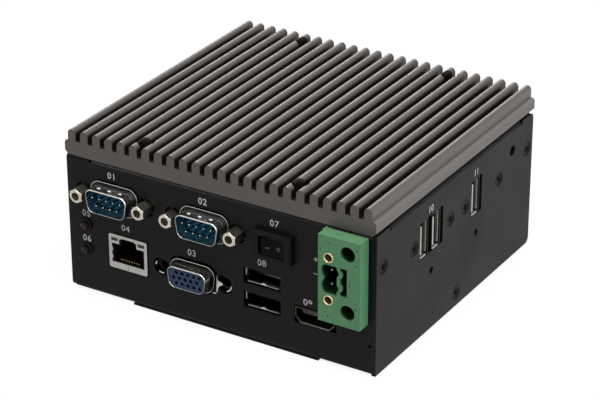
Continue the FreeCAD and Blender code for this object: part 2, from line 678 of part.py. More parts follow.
side_right, right_slots, right_reach = side_plate("side_plate_right", 1)
pair_y = 0 - S.side_pair_y
pair_wide = S.side_pair_pitch + S.side_shell_wide + 1.7
window(right_slots, pair_y + 0.7, S.side_port_z, pair_wide, S.side_shell_high + 0.6)
window(right_slots, S.side_one_y + 0.6, S.side_port_z, S.side_shell_wide + 1.7,
       S.side_shell_high + 0.6)
disc(right_slots, S.small_hole_a, S.small_hole_z, S.small_hole / 2)
disc(right_slots, 0 - S.small_hole_b, S.small_hole_z, S.small_hole / 2)
disc(right_slots, S.cable_hole_y, S.cable_hole_z, S.cable_hole / 2)
SPACER_SPOTS = [(0 - S.side_screw_a, S.side_screw_z), (0 - S.side_screw_b, S.side_screw_z),
                (S.side_screw_c, S.side_screw_z), (S.side_screw_d, S.side_screw_z)]
for y, z in SPACER_SPOTS + SIDE_FIX:
    disc(right_slots, y, z, S.screw_rod / 2 + 0.15)
right_cut = pocket(side_right, right_slots, "right_openings", S.plate_thick + 1.2, "YZ", -1)


def sunk_edge(side):
    """The rims of the screw holes in the outer face of a side plate."""
    def test(edge):
        if not isinstance(edge.Curve, Part.Circle):
            return False
        if not near(edge, 0, half_wide * side):
            return False
        return abs(edge.Curve.Radius - number(S.screw_rod / 2 + 0.15)) < 0.01
    return test


right_sunk = bevelled(side_right, right_cut, "right_countersinks",
                      (S.screw_head - S.screw_rod) / 2 - 0.1, sunk_edge(1))
side_right.Tip = fold_edge(side_right, right_sunk, "right", 1, right_reach)
node(side_right)

side_left, left_slots, left_reach = side_plate("side_plate_left", -1)
for y, z in SIDE_FIX:
    disc(left_slots, y, z, S.screw_rod / 2 + 0.15)
left_cut = pocket(side_left, left_slots, "left_openings", S.plate_thick + 1.2, "YZ", 1)
left_sunk = bevelled(side_left, left_cut, "left_countersinks",
                     (S.screw_head - S.screw_rod) / 2 - 0.1, sunk_edge(-1))
side_left.Tip = fold_edge(side_left, left_sunk, "left", -1, left_reach)
node(side_left)

sunk_deep = (S.screw_head - S.screw_rod) / 2
side_screw = turned("side_screw_source", [
    (Size(0.0, "0"), 0 - S.side_screw_long), (S.screw_rod / 2, 0 - S.side_screw_long),
    (S.screw_rod / 2, 0 - sunk_deep), (S.screw_head / 2, Size(0.0, "0")),
    (Size(0.9, "0.9"), Size(0.0, "0")), (Size(0.0, "0"), Size(-0.8, "(0 - 0.8)"))])
node(copies("side_screws_right", side_screw,
            [(half_wide, y, z, "+x") for y, z in SPACER_SPOTS + SIDE_FIX]))
node(copies("side_screws_left", side_screw, [(0 - half_wide, y, z, "-x") for y, z in SIDE_FIX]))

# ---------------------------------------------------------------- nuts pressed in the tray
nut = turned("nut_source", [
    (S.tap_bore / 2, 0), (2.7, 0), (2.7, 2.0), (S.tap_bore / 2, 2.0)])
nut_places = [(x, y, roof_low - 2.0, "+z") for x, y in SINK_SCREWS]
nut_places += [(x, y, floor_top, "+z") for x, y in BRACKET]
node(copies("clinch_nuts", nut, nut_places))

# ---------------------------------------------------------------- bottom cover and drive
cover = body_of("bottom_cover")
cover_sketch = sketch_on(cover, "cover_outline", "XY", 0.0)
cover_left = S.cover_shift - S.cover_wide / 2
cover_right = S.cover_shift + S.cover_wide / 2
cover_end = S.cover_long / 2
ear_mid = S.ear_spacing / 2 - 15.0
ear_half = S.ear_long / 2
outline(cover_sketch, [
    (cover_left, 0 - cover_end), (cover_right, 0 - cover_end),
    (cover_right, 0 - ear_mid - ear_half), (cover_right + S.ear_wide, 0 - ear_mid - ear_half),
    (cover_right + S.ear_wide, ear_half - ear_mid), (cover_right, ear_half - ear_mid),
    (cover_right, ear_mid - ear_half), (cover_right + S.ear_wide, ear_mid - ear_half),
    (cover_right + S.ear_wide, ear_mid + ear_half), (cover_right, ear_mid + ear_half),
    (cover_right, cover_end), (cover_left, cover_end),
    (cover_left, ear_mid + ear_half), (cover_left - S.ear_wide, ear_mid + ear_half),
    (cover_left - S.ear_wide, ear_mid - ear_half), (cover_left, ear_mid - ear_half),
    (cover_left, ear_half - ear_mid), (cover_left - S.ear_wide, ear_half - ear_mid),
    (cover_left - S.ear_wide, 0 - ear_mid - ear_half), (cover_left, 0 - ear_mid - ear_half)])
for x, y in EAR_SPOTS:
    disc(cover_sketch, x, y, Size(1.35, "1.35"))
cover_pad = pad(cover, cover_sketch, "cover_sheet", S.cover_thick, "XY", 1)
cover_sunk = bevelled(cover, cover_pad, "cover_countersinks", 0.7, lambda edge: isinstance(
    edge.Curve, Part.Circle) and near(edge, 2, 0.0))
tab_sketch = sketch_on(cover, "drive_tab_places", "XY", S.cover_thick - 0.2)
drive_left = S.cover_shift - S.drive_wide / 2
drive_right = S.cover_shift + S.drive_wide / 2
for end in (-1, 1):
    middle = S.drive_hole_spacing / 2 * end
    window(tab_sketch, drive_right + 0.4, middle, Size(0.8, "0.8"), Size(8.0, "8"))
    window(tab_sketch, drive_left - 0.4, middle, Size(0.8, "0.8"), Size(8.0, "8"))
pad(cover, tab_sketch, "drive_tabs", 6.4, "XY", 1)
tab_hole = sketch_on(cover, "drive_tab_holes", "YZ", drive_right + 2)
for end in (-1, 1):
    disc(tab_hole, S.drive_hole_spacing / 2 * end, S.cover_thick + S.drive_hole_high,
         S.screw_rod / 2 + 0.15)
cover.Tip = pocket(cover, tab_hole, "drive_holes", S.drive_wide + 4, "YZ", -1)
node(cover)

cover_screw = turned("cover_screw_source", [
    (0, 0), (0.7, 0.5), (0.8, 0), (1.95, 0), (1.2, 0.75), (1.2, 3.2), (0, 3.2)])
node(copies("bottom_cover_screws", cover_screw, [(x, y, Size(0.0, "0"), "+z")
                                                 for x, y in EAR_SPOTS]))
cover_nut = turned("cover_nut_source", [(1.25, 0), (2.2, 0), (2.2, 1.4), (1.25, 1.4)])
node(copies("bottom_cover_nuts", cover_nut, [(x, y, floor_top, "+z") for x, y in EAR_SPOTS]))

drive = body_of("storage_drive")
drive_sketch = sketch_on(drive, "drive_outline", "XY", S.cover_thick)
half_drive = S.drive_long / 2
outline(drive_sketch, [(drive_left, 0 - half_drive), (drive_right, 0 - half_drive),
                       (drive_right, half_drive), (drive_left, half_drive)])
drive_pad = pad(drive, drive_sketch, "drive_block", S.drive_high, "XY", 1)
drive_round = rounded(drive, drive_pad, "drive_corners", 2.0, lambda edge: along(edge, 2))
plug_sketch = sketch_on(drive, "drive_plug_slot", "XZ", half_drive)
window(plug_sketch, S.cover_shift - 8.0, S.cover_thick + 2.4, Size(34.0, "34"),
       Size(3.2, "3.2"))
drive_slot = pocket(drive, plug_sketch, "drive_plug", 5.0, "XZ", -1)
thread_sketch = sketch_on(drive, "drive_threads", "YZ", drive_right)
for end in (-1, 1):
    disc(thread_sketch, S.drive_hole_spacing / 2 * end, S.cover_thick + S.drive_hole_high,
         S.screw_rod / 2 + S.thread_gap)
pocket(drive, thread_sketch, "drive_threads_right", 3.5, "YZ", -1)
thread_left = sketch_on(drive, "drive_threads_far", "YZ", drive_left)
for end in (-1, 1):
    disc(thread_left, S.drive_hole_spacing / 2 * end, S.cover_thick + S.drive_hole_high,
         S.screw_rod / 2 + S.thread_gap)
drive.Tip = pocket(drive, thread_left, "drive_threads_left", 3.5, "YZ", 1)
node(drive)
drive_screw = turned("drive_screw_source", [
    (0, -3.4), (1.5, -3.4), (1.5, 0), (2.2, 0), (2.2, 0.7), (1.9, 1.0), (0.8, 1.0), (0, 0.4)])
drive_level = S.cover_thick + S.drive_hole_high
drive_spots = []
for end in (-1, 1):
    middle = S.drive_hole_spacing / 2 * end
    drive_spots.append((drive_right + 0.8, middle, drive_level, "+x"))
    drive_spots.append((drive_left - 0.8, middle, drive_level, "-x"))
node(copies("drive_screws", drive_screw, drive_spots))

# ---------------------------------------------------------------- mainboard
board = body_of("mainboard")
board_sketch = sketch_on(board, "board_outline", "XY", board_low)
board_y0 = panel_back + S.board_front
board_y1 = board_y0 + S.board_long
outline(board_sketch, [(0 - S.board_wide / 2, board_y0), (S.board_wide / 2, board_y0),
                       (S.board_wide / 2, board_y1), (0 - S.board_wide / 2, board_y1)])
half_block = S.block_hole_spacing / 2
BLOCK_SPOTS = [(S.block_x + half_block * a, S.block_y + half_block * b)
               for a in (-1, 1) for b in (-1, 1)]
for x, y in POSTS + BLOCK_SPOTS:
    disc(board_sketch, x, y, S.post_hole / 2)
upper_post_y = S.upper_post_in - half_deep
UPPER_POSTS = [(S.upper_post_left - S.upper_left, upper_post_y),
               (S.upper_right - S.upper_post_right, upper_post_y)]
for x, y in UPPER_POSTS:
    disc(board_sketch, x, y, S.post_hole / 2)
board.Tip = pad(board, board_sketch, "board_sheet", S.board_thick, "XY", 1)
node(board)

post = turned("post_source", [
    (S.tap_bore / 2, Size(0.0, "0")), (S.post_wide / 2, Size(0.0, "0")),
    (S.post_wide / 2, board_low - floor_top), (S.tap_bore / 2, board_low - floor_top)])
node(copies("mainboard_posts", post, [(x, y, floor_top, "+z") for x, y in POSTS]))
board_screw = turned("board_screw_source", [
    (0, -5.0), (1.5, -5.0), (1.5, 0), (2.6, 0), (2.6, 1.2), (2.0, 1.8), (1.0, 1.8), (0, 0.8)])

chip_half = S.chip_wide / 2
node(box("processor", S.block_x - chip_half, S.block_x + chip_half, S.block_y - chip_half,
         S.block_y + chip_half, S.board_top, S.board_top + S.chip_high))
pad_low = S.board_top + S.chip_high
block_low = pad_low + S.pad_thick
block_top = case_top - S.pad_thick
low_pad = box("processor_pad", S.block_x - chip_half, S.block_x + chip_half,
              S.block_y - chip_half, S.block_y + chip_half, pad_low, block_low)
block_half = S.block_wide / 2
block = box("block_blank", S.block_x - block_half, S.block_x + block_half,
            S.block_y - block_half, S.block_y + block_half, block_low, block_top)
feet = []
taps = []
for index, (x, y) in enumerate(BLOCK_SPOTS, start=1):
    feet.append(rod("block_foot_" + str(index), x, y, S.board_top, S.block_foot_wide / 2,
                    block_low - S.board_top + 0.2, "+z"))
    taps.append(rod("block_tap_" + str(index), x, y, S.board_top - 0.1, S.tap_bore / 2,
                    Size(8.0, "8"), "+z"))
node(cut_out("heat_block", joined("block_with_feet", [block] + feet), taps))
top_pad = box("heat_block_pad", S.block_x - block_half, S.block_x + block_half,
              S.block_y - block_half, S.block_y + block_half, block_top, case_top)
node(group("thermal_pads", [low_pad, top_pad]))
block_screw = turned("block_screw_source", [
    (0, -1.4), (2.5, -1.4), (2.5, 0), (1.5, 0), (1.5, 7.0), (0, 7.0)])
node(copies("heat_block_screws", block_screw, [(x, y, board_low, "+z") for x, y in BLOCK_SPOTS]))

# Memory lies along the left side of the board.
memory_x = S.memory_in - S.board_wide / 2
memory_low = Size(-30.0, "(0 - 30)")
memory_high = memory_low + S.memory_long
socket = box("memory_socket_blank", memory_x, memory_x + 7.0, memory_low, memory_high,
             S.board_top, S.board_top + 5.2)
slot = box("memory_slot", memory_x + 3.0, memory_x + 8.0, memory_low + 1.6,
           memory_high - 1.6, S.board_top + 2.9, S.board_top + 4.3)
node(cut_out("memory_socket", socket, [slot]))
module = box("module_blank", memory_x + 3.0, memory_x + 33.0, memory_low + 2.2,
             memory_high - 2.2, S.board_top + 3.0, S.board_top + 4.2)
chips = []
for index in range(4):
    low_y = memory_low + 6.0 + 16.0 * index
    chips.append(box("module_chip_" + str(index + 1), memory_x + 14.0, memory_x + 26.0,
                     low_y, low_y + 10.0, S.board_top + 4.1, S.board_top + 5.2))
node(joined("memory_module", [module] + chips))

board_end = S.board_wide / 2
capacitor = turned("capacitor_source", [
    (0, 0), (S.can_wide / 2, 0), (S.can_wide / 2, S.can_high), (0, S.can_high)])
can_spots = [(board_end - 18.0, 8), (board_end - 18.0, 1), (S.block_x - 14.0, 30),
             (S.block_x - 4.0, 30), (S.block_x - 24.0, 24)]
node(copies("capacitors", capacitor, [(x, y, S.board_top, "+z") for x, y in can_spots]))
inductor_parts = []
coil_spots = [(board_end - 15.0, Size(-22.0, "(0 - 22)")),
              (board_end - 15.0, Size(-13.0, "(0 - 13)")), (S.block_x + 6.0, Size(28.0, "28"))]
for index, (x, y) in enumerate(coil_spots, start=1):
    part = box("inductor_" + str(index), x, x + S.coil_wide, y, y + S.coil_wide,
               S.board_top, S.board_top + S.coil_high)
    inductor_parts.append(part)
node(group("inductors", inductor_parts))
chip_parts = []
chip_spots = [(S.block_x - 24.0, Size(-28.0, "(0 - 28)"), 9.0, 1.0),
              (S.block_x - 22.0, Size(34.0, "34"), 8.0, 1.0),
              (S.block_x + 14.0, Size(36.0, "36"), 6.0, 1.2)]
for index, (x, y, wide, high) in enumerate(chip_spots, start=1):
    part = box("chip_" + str(index), x, x + wide, y, y + wide, S.board_top,
               S.board_top + high)
    chip_parts.append(part)
node(group("board_chips", chip_parts))

cell_x = board_end - S.cell_in
cell_low = S.board_top + S.cell_seat
holder = rod("holder_round", cell_x, S.cell_y, S.board_top, S.holder_wide / 2, S.holder_high,
             "+z")
holder_well = rod("holder_well", cell_x, S.cell_y, cell_low, S.cell_wide / 2 + S.cell_gap,
                  S.holder_high + 0.4, "+z")
node(cut_out("coin_cell_holder", holder, [holder_well]))
node(rod("coin_cell", cell_x, S.cell_y, cell_low, S.cell_wide / 2, S.cell_high, "+z"))

# ---------------------------------------------------------------- upper port board
upper = body_of("upper_board")
upper_sketch = sketch_on(upper, "upper_outline", "XY", upper_low)
upper_y0 = panel_back + 1.0
outline(upper_sketch, [(0 - S.upper_left, upper_y0), (S.upper_right, upper_y0),
                       (S.upper_right, upper_y0 + S.upper_long),
                       (0 - S.upper_left, upper_y0 + S.upper_long)])
for x, y in UPPER_POSTS:
    disc(upper_sketch, x, y, S.post_hole / 2)
upper.Tip = pad(upper, upper_sketch, "upper_sheet", S.board_thick, "XY", 1)
node(upper)
upper_post = turned("upper_post_source", [
    (S.tap_bore / 2, Size(0.0, "0")), (S.post_wide / 2, Size(0.0, "0")),
    (S.post_wide / 2, upper_low - S.board_top), (S.tap_bore / 2, upper_low - S.board_top)])
node(copies("upper_board_posts", upper_post,
            [(x, y, S.board_top, "+z") for x, y in UPPER_POSTS]))
board_screws = [(x, y, S.board_top, "+z") for x, y in POSTS]
board_screws += [(x, y, S.upper_top, "+z") for x, y in UPPER_POSTS]
board_screws += [(x, y, board_low, "-z") for x, y in UPPER_POSTS]
stacker_low = upper_post_y + 2.5
node(box("board_stacker", S.block_x - S.stacker_long, S.block_x, stacker_low,
         stacker_low + S.stacker_thick, S.board_top, upper_low))

# ---------------------------------------------------------------- serial ports
def d_shell(name, x, z, wide, high, proud):
    """A stamped shell: mounting flange, collar through the panel, and the D itself."""
    body = body_of(name)
    back = panel_back + 0.1
    flange = sketch_on(body, name + "_flange_face", "XZ", back)
    window(flange, x, z, S.flange_wide, S.flange_high)
    for side in (-1, 1):
        disc(flange, x + S.ear_hole_spacing / 2 * side, z, S.jack_hole + 0.1)
    pad(body, flange, name + "_flange", S.flange_thick, "XZ", 1)
    collar = sketch_on(body, name + "_collar_face", "XZ", panel_face - S.collar_proud)
    d_shape(collar, x, z, S.collar_wide, S.collar_high, 3.4)
    pad(body, collar, name + "_collar", back - panel_face + S.collar_proud + 0.1, "XZ", 1)
    front = panel_face - proud
    face = sketch_on(body, name + "_d_face", "XZ", front)
    d_shape(face, x, z, wide, high, 2.6)
    pad(body, face, name + "_d", back - front, "XZ", 1)
    hollow = sketch_on(body, name + "_hollow_face", "XZ", front - 1)
    d_shape(hollow, x, z, wide - S.shell_skin * 2, high - S.shell_skin * 2,
            2.6 - S.shell_skin)
    body.Tip = pocket(body, hollow, name + "_hollow", back - front + S.flange_thick + 2,
                      "XZ", 1)
    return body


def d_filler(name, x, z, wide, high, front, holes, seat):
    """The moulded insulator: a D boss in the shell, and a block that sits on its board."""
    body = body_of(name)
    gap = S.shell_skin * 2 + 0.04
    back = panel_back + 0.1 + S.flange_thick
    face = sketch_on(body, name + "_boss_face", "XZ", front)
    d_shape(face, x, z, wide - gap, high - gap, 2.6 - S.shell_skin - 0.02)
    pad(body, face, name + "_boss", back - front, "XZ", 1)
    block_face = sketch_on(body, name + "_block_face", "XZ", back)
    block_up = z + S.flange_high / 2 - 0.5
    outline(block_face, [(x - 9.6, seat), (x + 9.6, seat), (x + 9.6, block_up),
                         (x - 9.6, block_up)])
    made = pad(body, block_face, name + "_block", 8.0, "XZ", 1)
    if holes:
        hole_face = sketch_on(body, name + "_hole_face", "XZ", front)
        for u, v in holes:
            disc(hole_face, x + u, z + v, Size(0.5, "0.5"))
        made = pocket(body, hole_face, name + "_holes", 3.0, "XZ", 1)
    body.Tip = made
    return body


serial_pin = turned("serial_pin_source", [
    (0, 0), (0.5, 0), (0.5, 4.6), (0.25, 5.0), (0, 5.0)])
jack_bar = body_of("jack_bar_source")
jack_sketch = sketch_on(jack_bar, "jack_hexagon", "XY", 0.0)
jack_round = S.jack_flat / (2 * math.cos(math.radians(30.0)))
hexagon = []
for step in range(6):
    turn = math.radians(60.0 * step + 30.0)
    hexagon.append((jack_round * math.cos(turn), jack_round * math.sin(turn)))
outline(jack_sketch, hexagon)
disc(jack_sketch, Size(0.0, "0"), Size(0.0, "0"), S.jack_hole)
jack_length = S.jack_proud + S.plate_thick + 0.1
jack_bar.Tip = pad(jack_bar, jack_sketch, "jack_bar", jack_length, "XY", 1)
jack_nose = turned("jack_nose_source", [
    (Size(0.0, "0"), Size(-1.0, "(0 - 1)")), (jack_round + 0.2, Size(-1.0, "(0 - 1)")),
    (jack_round + 0.2, jack_length - 0.75), (S.jack_flat / 2 - 0.15, jack_length),
    (Size(0.0, "0"), jack_length)])
jack = doc.addObject("Part::MultiCommon", "jack_source")
jack.Shapes = [jack_bar, jack_nose]
jack.Label = "jack_source"
insulator_front = panel_face - 0.4
for word, x in (("one", serial_left), ("two", serial_right)):
    label = "serial_port_" + word
    node(d_shell(label + "_shell", x, S.serial_z, S.male_wide, S.male_high, S.serial_proud))
    node(d_filler(label + "_insulator", x, S.serial_z, S.male_wide, S.male_high,
                  insulator_front, [], S.upper_top))
    pins = []
    for row_index, (count, level) in enumerate(((5, 1.42), (4, -1.42))):
        for column in range(count):
            u = (column - (count - 1) / 2) * 2.77
            pins.append((x + u, insulator_front, S.serial_z + level, "-y"))
    node(copies(label + "_pins", serial_pin, pins))
jack_places = []
for x in (serial_left, serial_right):
    for side in (-1, 1):
        jack_places.append((x + S.ear_hole_spacing / 2 * side, panel_back + 0.1, S.serial_z,
                            "-y"))
node(copies("serial_jackscrews", jack, jack_places))

# ---------------------------------------------------------------- video port
video_left = 0 - S.video_x
node(d_shell("video_port_shell", video_left, S.video_z, S.female_wide, S.female_high,
             S.video_proud))
video_holes = []
for row_index, (shift, level) in enumerate(((0.0, 1.98), (-1.145, 0.0), (0.0, -1.98))):
    for column in range(5):
        video_holes.append(((column - 2) * 2.29 + shift + 0.38, level))
node(d_filler("video_port_insert", video_left, S.video_z, S.female_wide, S.female_high,
              panel_face - S.video_proud + 0.3, video_holes, S.board_top))

# ---------------------------------------------------------------- network jack
net_left = 0 - S.net_x - S.net_wide / 2
net_right = 0 - S.net_x + S.net_wide / 2
net_low = S.net_z - S.net_high / 2
net_top = S.net_z + S.net_high / 2
net_front = panel_face - S.net_proud
net_back = net_front + S.net_deep
skin = S.net_skin
net_x = 0 - S.net_x
net_can = box("net_can", net_left, net_right, net_front, net_back, net_low, net_top)
net_room = box("net_room", net_left + skin, net_right - skin, net_front + skin,
               net_back + 1, net_low - 1, net_top - skin)
net_mouth = box("net_mouth", net_x - 6.0, net_x + 6.0, net_front - 1, net_front + 1,
                net_low + 2.3, net_low + 9.4)
net_notch = box("net_notch", net_x - 3.1, net_x + 3.1, net_front - 1, net_front + 1,
                net_low + 9.3, net_low + 11.7)
light_cuts = []
for index, side in enumerate((-1, 1), start=1):
    middle = net_x + 5.4 * side
    light_cuts.append(box("net_light_cut_" + str(index), middle - 1.5, middle + 1.5,
                          net_front - 1, net_front + 1, net_low + 10.2, net_low + 11.9))
node(cut_out("network_jack_can", net_can, [net_room, net_mouth, net_notch] + light_cuts))
fill = skin + 0.02
net_block = box("net_block", net_left + fill, net_right - fill, net_front + fill,
                net_back - 0.5, net_low + 0.02, net_top - fill)
net_well = box("net_well", net_x - 5.9, net_x + 5.9, net_front - 1, net_front + 13.0,
               net_low + 2.4, net_low + 9.3)
net_groove = box("net_groove", net_x - 3.0, net_x + 3.0, net_front - 1, net_front + 8.0,
                 net_low + 9.2, net_low + 11.6)
light_rooms = []
light_pipes = []
for index, side in enumerate((-1, 1), start=1):
    middle = net_x + 5.4 * side
    light_rooms.append(box("net_light_room_" + str(index), middle - 1.45, middle + 1.45,
                           net_front - 1, net_front + 4.0, net_low + 10.25, net_low + 11.85))
    light_pipes.append(box("net_light_" + str(index), middle - 1.4, middle + 1.4,
                           net_front + 0.05, net_front + 3.95, net_low + 10.3, net_low + 11.8))
node(cut_out("network_jack_body", net_block, [net_well, net_groove] + light_rooms))
node(group("network_jack_lights", light_pipes))
contacts = []
for index in range(8):
    middle = net_x + (index - 3.5) * 1.02
    contacts.append(box("net_contact_" + str(index + 1), middle - 0.25, middle + 0.25,
                        net_front + 1.2, net_front + 12.4, net_low + 2.8, net_low + 3.2))
node(group("network_jack_contacts", contacts))

# ---------------------------------------------------------------- status lights
lens = turned("lens_source", [
    (Size(0.0, "0"), Size(-5.0, "(0 - 5)")), (S.light_lens, Size(-5.0, "(0 - 5)")),
    (S.light_lens, S.light_proud - 1.2), (S.light_lens * 0.82, S.light_proud - 0.55),
    (S.light_lens * 0.45, S.light_proud - 0.15), (Size(0.0, "0"), S.light_proud)])
ring = turned("ring_source", [
    (S.light_lens + 0.05, Size(-3.0, "(0 - 3)")), (Size(2.1, "2.1"), Size(-3.0, "(0 - 3)")),
    (Size(2.1, "2.1"), Size(0.0, "0")), (S.light_ring, Size(0.0, "0")),
    (S.light_ring, Size(0.5, "0.5")), (S.light_ring - 0.3, Size(0.8, "0.8")),
    (S.light_lens + 0.05, Size(0.8, "0.8"))])
light_y = panel_face
node(copies("drive_light", lens, [(0 - S.light_x, light_y, S.light_upper_z, "-y")]))
node(copies("system_light", lens, [(0 - S.light_x, light_y, S.light_lower_z, "-y")]))
node(copies("status_light_rings", ring, [(0 - S.light_x, light_y, S.light_upper_z, "-y"),
                                         (0 - S.light_x, light_y, S.light_lower_z, "-y")]))

# ---------------------------------------------------------------- power rocker
bezel = body_of("switch_body")
bezel_front = panel_face - S.bezel_proud
bezel_sketch = sketch_on(bezel, "bezel_face", "XZ", bezel_front)
window(bezel_sketch, S.rocker_x, S.rocker_z, S.bezel_wide, S.bezel_high)
bezel_pad = pad(bezel, bezel_sketch, "bezel", S.bezel_proud, "XZ", 1)
bezel_round = bevelled(bezel, bezel_pad, "bezel_edge", 0.7,
                       lambda edge: near(edge, 1, bezel_front) and not along(edge, 1))
trunk = sketch_on(bezel, "switch_trunk", "XZ", panel_face - 0.1)
window(trunk, S.rocker_x, S.rocker_z, S.bezel_wide - 1.5, S.bezel_high - 1.5)
pad(bezel, trunk, "switch_block", 12.0, "XZ", 1)
well = sketch_on(bezel, "rocker_well", "XZ", bezel_front - 1)
window(well, S.rocker_x, S.rocker_z, S.rocker_wide + S.rocker_gap * 2,
       S.rocker_high + S.rocker_gap * 2)
pocket(bezel, well, "rocker_room", 9.0, "XZ", 1)
pivot = sketch_on(bezel, "pivot_holes", "XY", S.rocker_z + S.rocker_high / 2 + 1.3)
rocker_axis_y = panel_face + 1.2
disc(pivot, S.rocker_x, rocker_axis_y, Size(0.9, "0.9"))
bezel.Tip = pocket(bezel, pivot, "pivot_bores", S.rocker_high + 2.6, "XY", -1)
node(bezel)

rocker = body_of("power_rocker")
rocker_sketch = sketch_on(rocker, "rocker_section", "XY",
                          S.rocker_z - S.rocker_high / 2)
# The section is drawn at rest: the right half is pressed in and the left half stands out.
half_rocker = S.rocker_wide / 2
tilt = math.radians(12.0)


def swung(u, v):
    """A point of the level rocker turned about its pivot to the resting position."""
    x = u * math.cos(tilt) - v * math.sin(tilt)
    y = u * math.sin(tilt) + v * math.cos(tilt)
    return (S.rocker_x + x, rocker_axis_y + y)


fold = Size(-3.3, "(0 - 3.3)")
crest = half_rocker - 0.75
waist = half_rocker - 0.35
outline(rocker_sketch, [
    swung(0 - crest, fold - S.rocker_valley), swung(Size(0.0, "0"), fold),
    swung(crest, fold - S.rocker_valley), swung(waist, Size(-2.4, "(0 - 2.4)")),
    swung(waist - 0.3, Size(-0.5, "(0 - 0.5)")), swung(Size(2.2, "2.2"), Size(1.8, "1.8")),
    swung(Size(0.9, "0.9"), Size(4.2, "4.2")),
    swung(Size(-0.9, "(0 - 0.9)"), Size(4.2, "4.2")),
    swung(Size(-2.2, "(0 - 2.2)"), Size(1.8, "1.8")),
    swung(0.3 - waist, Size(-0.5, "(0 - 0.5)")),
    swung(0 - waist, Size(-2.4, "(0 - 2.4)"))])
rocker_pad = pad(rocker, rocker_sketch, "rocker_bar", S.rocker_high, "XY", 1)
axle = sketch_on(rocker, "rocker_axle_end", "XY", S.rocker_z - S.rocker_high / 2 - 1.0)
disc(axle, S.rocker_x, rocker_axis_y, Size(0.85, "0.85"))
rocker.Tip = pad(rocker, axle, "rocker_axle", S.rocker_high + 2.0, "XY", 1)
node(rocker)
blades = []
for index, side in enumerate((-1, 1), start=1):
    blades.append(box("blade_" + str(index), S.rocker_x + 2.6 * side - 0.4,
                      S.rocker_x + 2.6 * side + 0.4, panel_face + 11.9, panel_face + 18.0,
                      S.rocker_z - 2.4, S.rocker_z + 2.4))
node(group("switch_blades", blades))

# ---------------------------------------------------------------- stacked front ports
stack_front = panel_back + S.stack_back_off
stack_back = stack_front + S.usb_deep + 3
stack = body_of("front_port_can")
stack_sketch = sketch_on(stack, "stack_face", "XZ", stack_front)
window(stack_sketch, S.stack_x, S.stack_z, S.stack_wide, S.stack_high)
stack_pad = pad(stack, stack_sketch, "stack_block", stack_back - stack_front, "XZ", 1)
stack_round = rounded(stack, stack_pad, "stack_corners", 0.6, lambda edge: along(edge, 1))
stack_wells = sketch_on(stack, "stack_mouths", "XZ", stack_front - 1)
for side in (-1, 1):
    window(stack_wells, S.stack_x, S.stack_z + S.stack_pitch / 2 * side, S.usb_wide, S.usb_high)
stack.Tip = pocket(stack, stack_wells, "stack_rooms", S.usb_deep + 1, "XZ", 1)
node(stack)
tongues = []
for index, side in enumerate((-1, 1), start=1):
    middle = S.stack_z + S.stack_pitch / 2 * side + 0.6
    tongues.append(box("front_tongue_" + str(index), S.stack_x - 5.3, S.stack_x + 5.3,
                       stack_front + 2.2, stack_front + S.usb_deep, middle - 0.9,
                       middle + 0.9))
node(group("front_port_tongues", tongues))

# ---------------------------------------------------------------- digital video port
screen = body_of("screen_port_can")
screen_front = panel_face - 0.3
half_screen = S.screen_wide / 2
half_high = S.screen_high / 2
screen_sketch = sketch_on(screen, "screen_face", "XZ", screen_front)


def screen_shape(sketch, inset):
    u = half_screen - inset
    v = half_high - inset
    outline(sketch, [
        (S.screen_x - u, screen_z + v), (S.screen_x - u, screen_z - 0.6),
        (S.screen_x - u + 1.9, screen_z - v), (S.screen_x + u - 1.9, screen_z - v),
        (S.screen_x + u, screen_z - 0.6), (S.screen_x + u, screen_z + v)])


screen_shape(screen_sketch, 0.0)
pad(screen, screen_sketch, "screen_block", 11.5, "XZ", 1)
screen_well = sketch_on(screen, "screen_mouth", "XZ", screen_front - 1)
screen_shape(screen_well, 0.45)
screen.Tip = pocket(screen, screen_well, "screen_room", 10.5, "XZ", 1)
node(screen)
node(box("screen_port_tongue", S.screen_x - 5.8, S.screen_x + 5.8, screen_front + 2.0,
         screen_front + 9.5, screen_z - 0.1, screen_z + 1.0))

# ---------------------------------------------------------------- power terminal
term = body_of("power_terminal")
term_front = panel_face - S.term_proud
term_sketch = sketch_on(term, "term_face", "XZ", term_front)
window(term_sketch, S.term_x, S.term_z, S.term_wide, S.term_high)
pad(term, term_sketch, "term_block", S.term_proud, "XZ", 1)
nub = sketch_on(term, "term_nub_place", "XY", S.term_z + S.term_high / 2)
window(nub, S.term_x - 1.6, term_front + 3.0, Size(1.4, "1.4"), Size(1.0, "1.0"))
pad(term, nub, "term_nub", 0.5, "XY", 1)
term_trunk = sketch_on(term, "term_trunk_face", "XZ", panel_face - 0.1)
window(term_trunk, S.term_x, S.term_z, S.term_wide - 1.9, S.term_high - 2.1)
pad(term, term_trunk, "term_trunk", S.plate_thick + S.term_back, "XZ", 1)
guides = sketch_on(term, "term_guides", "XZ", term_front - 1)
disc(guides, S.guide_x, S.guide_low, S.guide_wide / 2)
disc(guides, S.guide_x, S.guide_high, S.guide_wide / 2)
pocket(term, guides, "guide_wells", 10.0, "XZ", 1)
brass = sketch_on(term, "insert_places", "XZ", term_front - 1)
for side in (-1, 1):
    disc(brass, S.insert_x, S.insert_z + S.insert_spacing / 2 * side,
         S.insert_wide / 2 + 0.02)
pocket(term, brass, "insert_wells", 8.0, "XZ", 1)
cavity = sketch_on(term, "plug_cavity", "XZ", term_front - 1)
cave_left = S.pin_x - 3.3
cave_right = S.pin_x + 2.9
outline(cavity, [
    (cave_left, S.pin_z - 1.7), (cave_left + 1.2, S.pin_z - 4.3), (cave_right, S.pin_z - 4.3),
    (cave_right, S.pin_z + 4.3), (cave_left + 1.2, S.pin_z + 4.3), (cave_left, S.pin_z + 1.7),
    (cave_left + 1.4, S.pin_z)])
pocket(term, cavity, "cavity_room", 11.0, "XZ", 1)
key = sketch_on(term, "key_slot", "XZ", term_front - 1)
window(key, S.pin_x + 4.4, S.pin_z - 0.3, S.key_wide, S.key_high)
pocket(term, key, "key_room", 9.0, "XZ", 1)
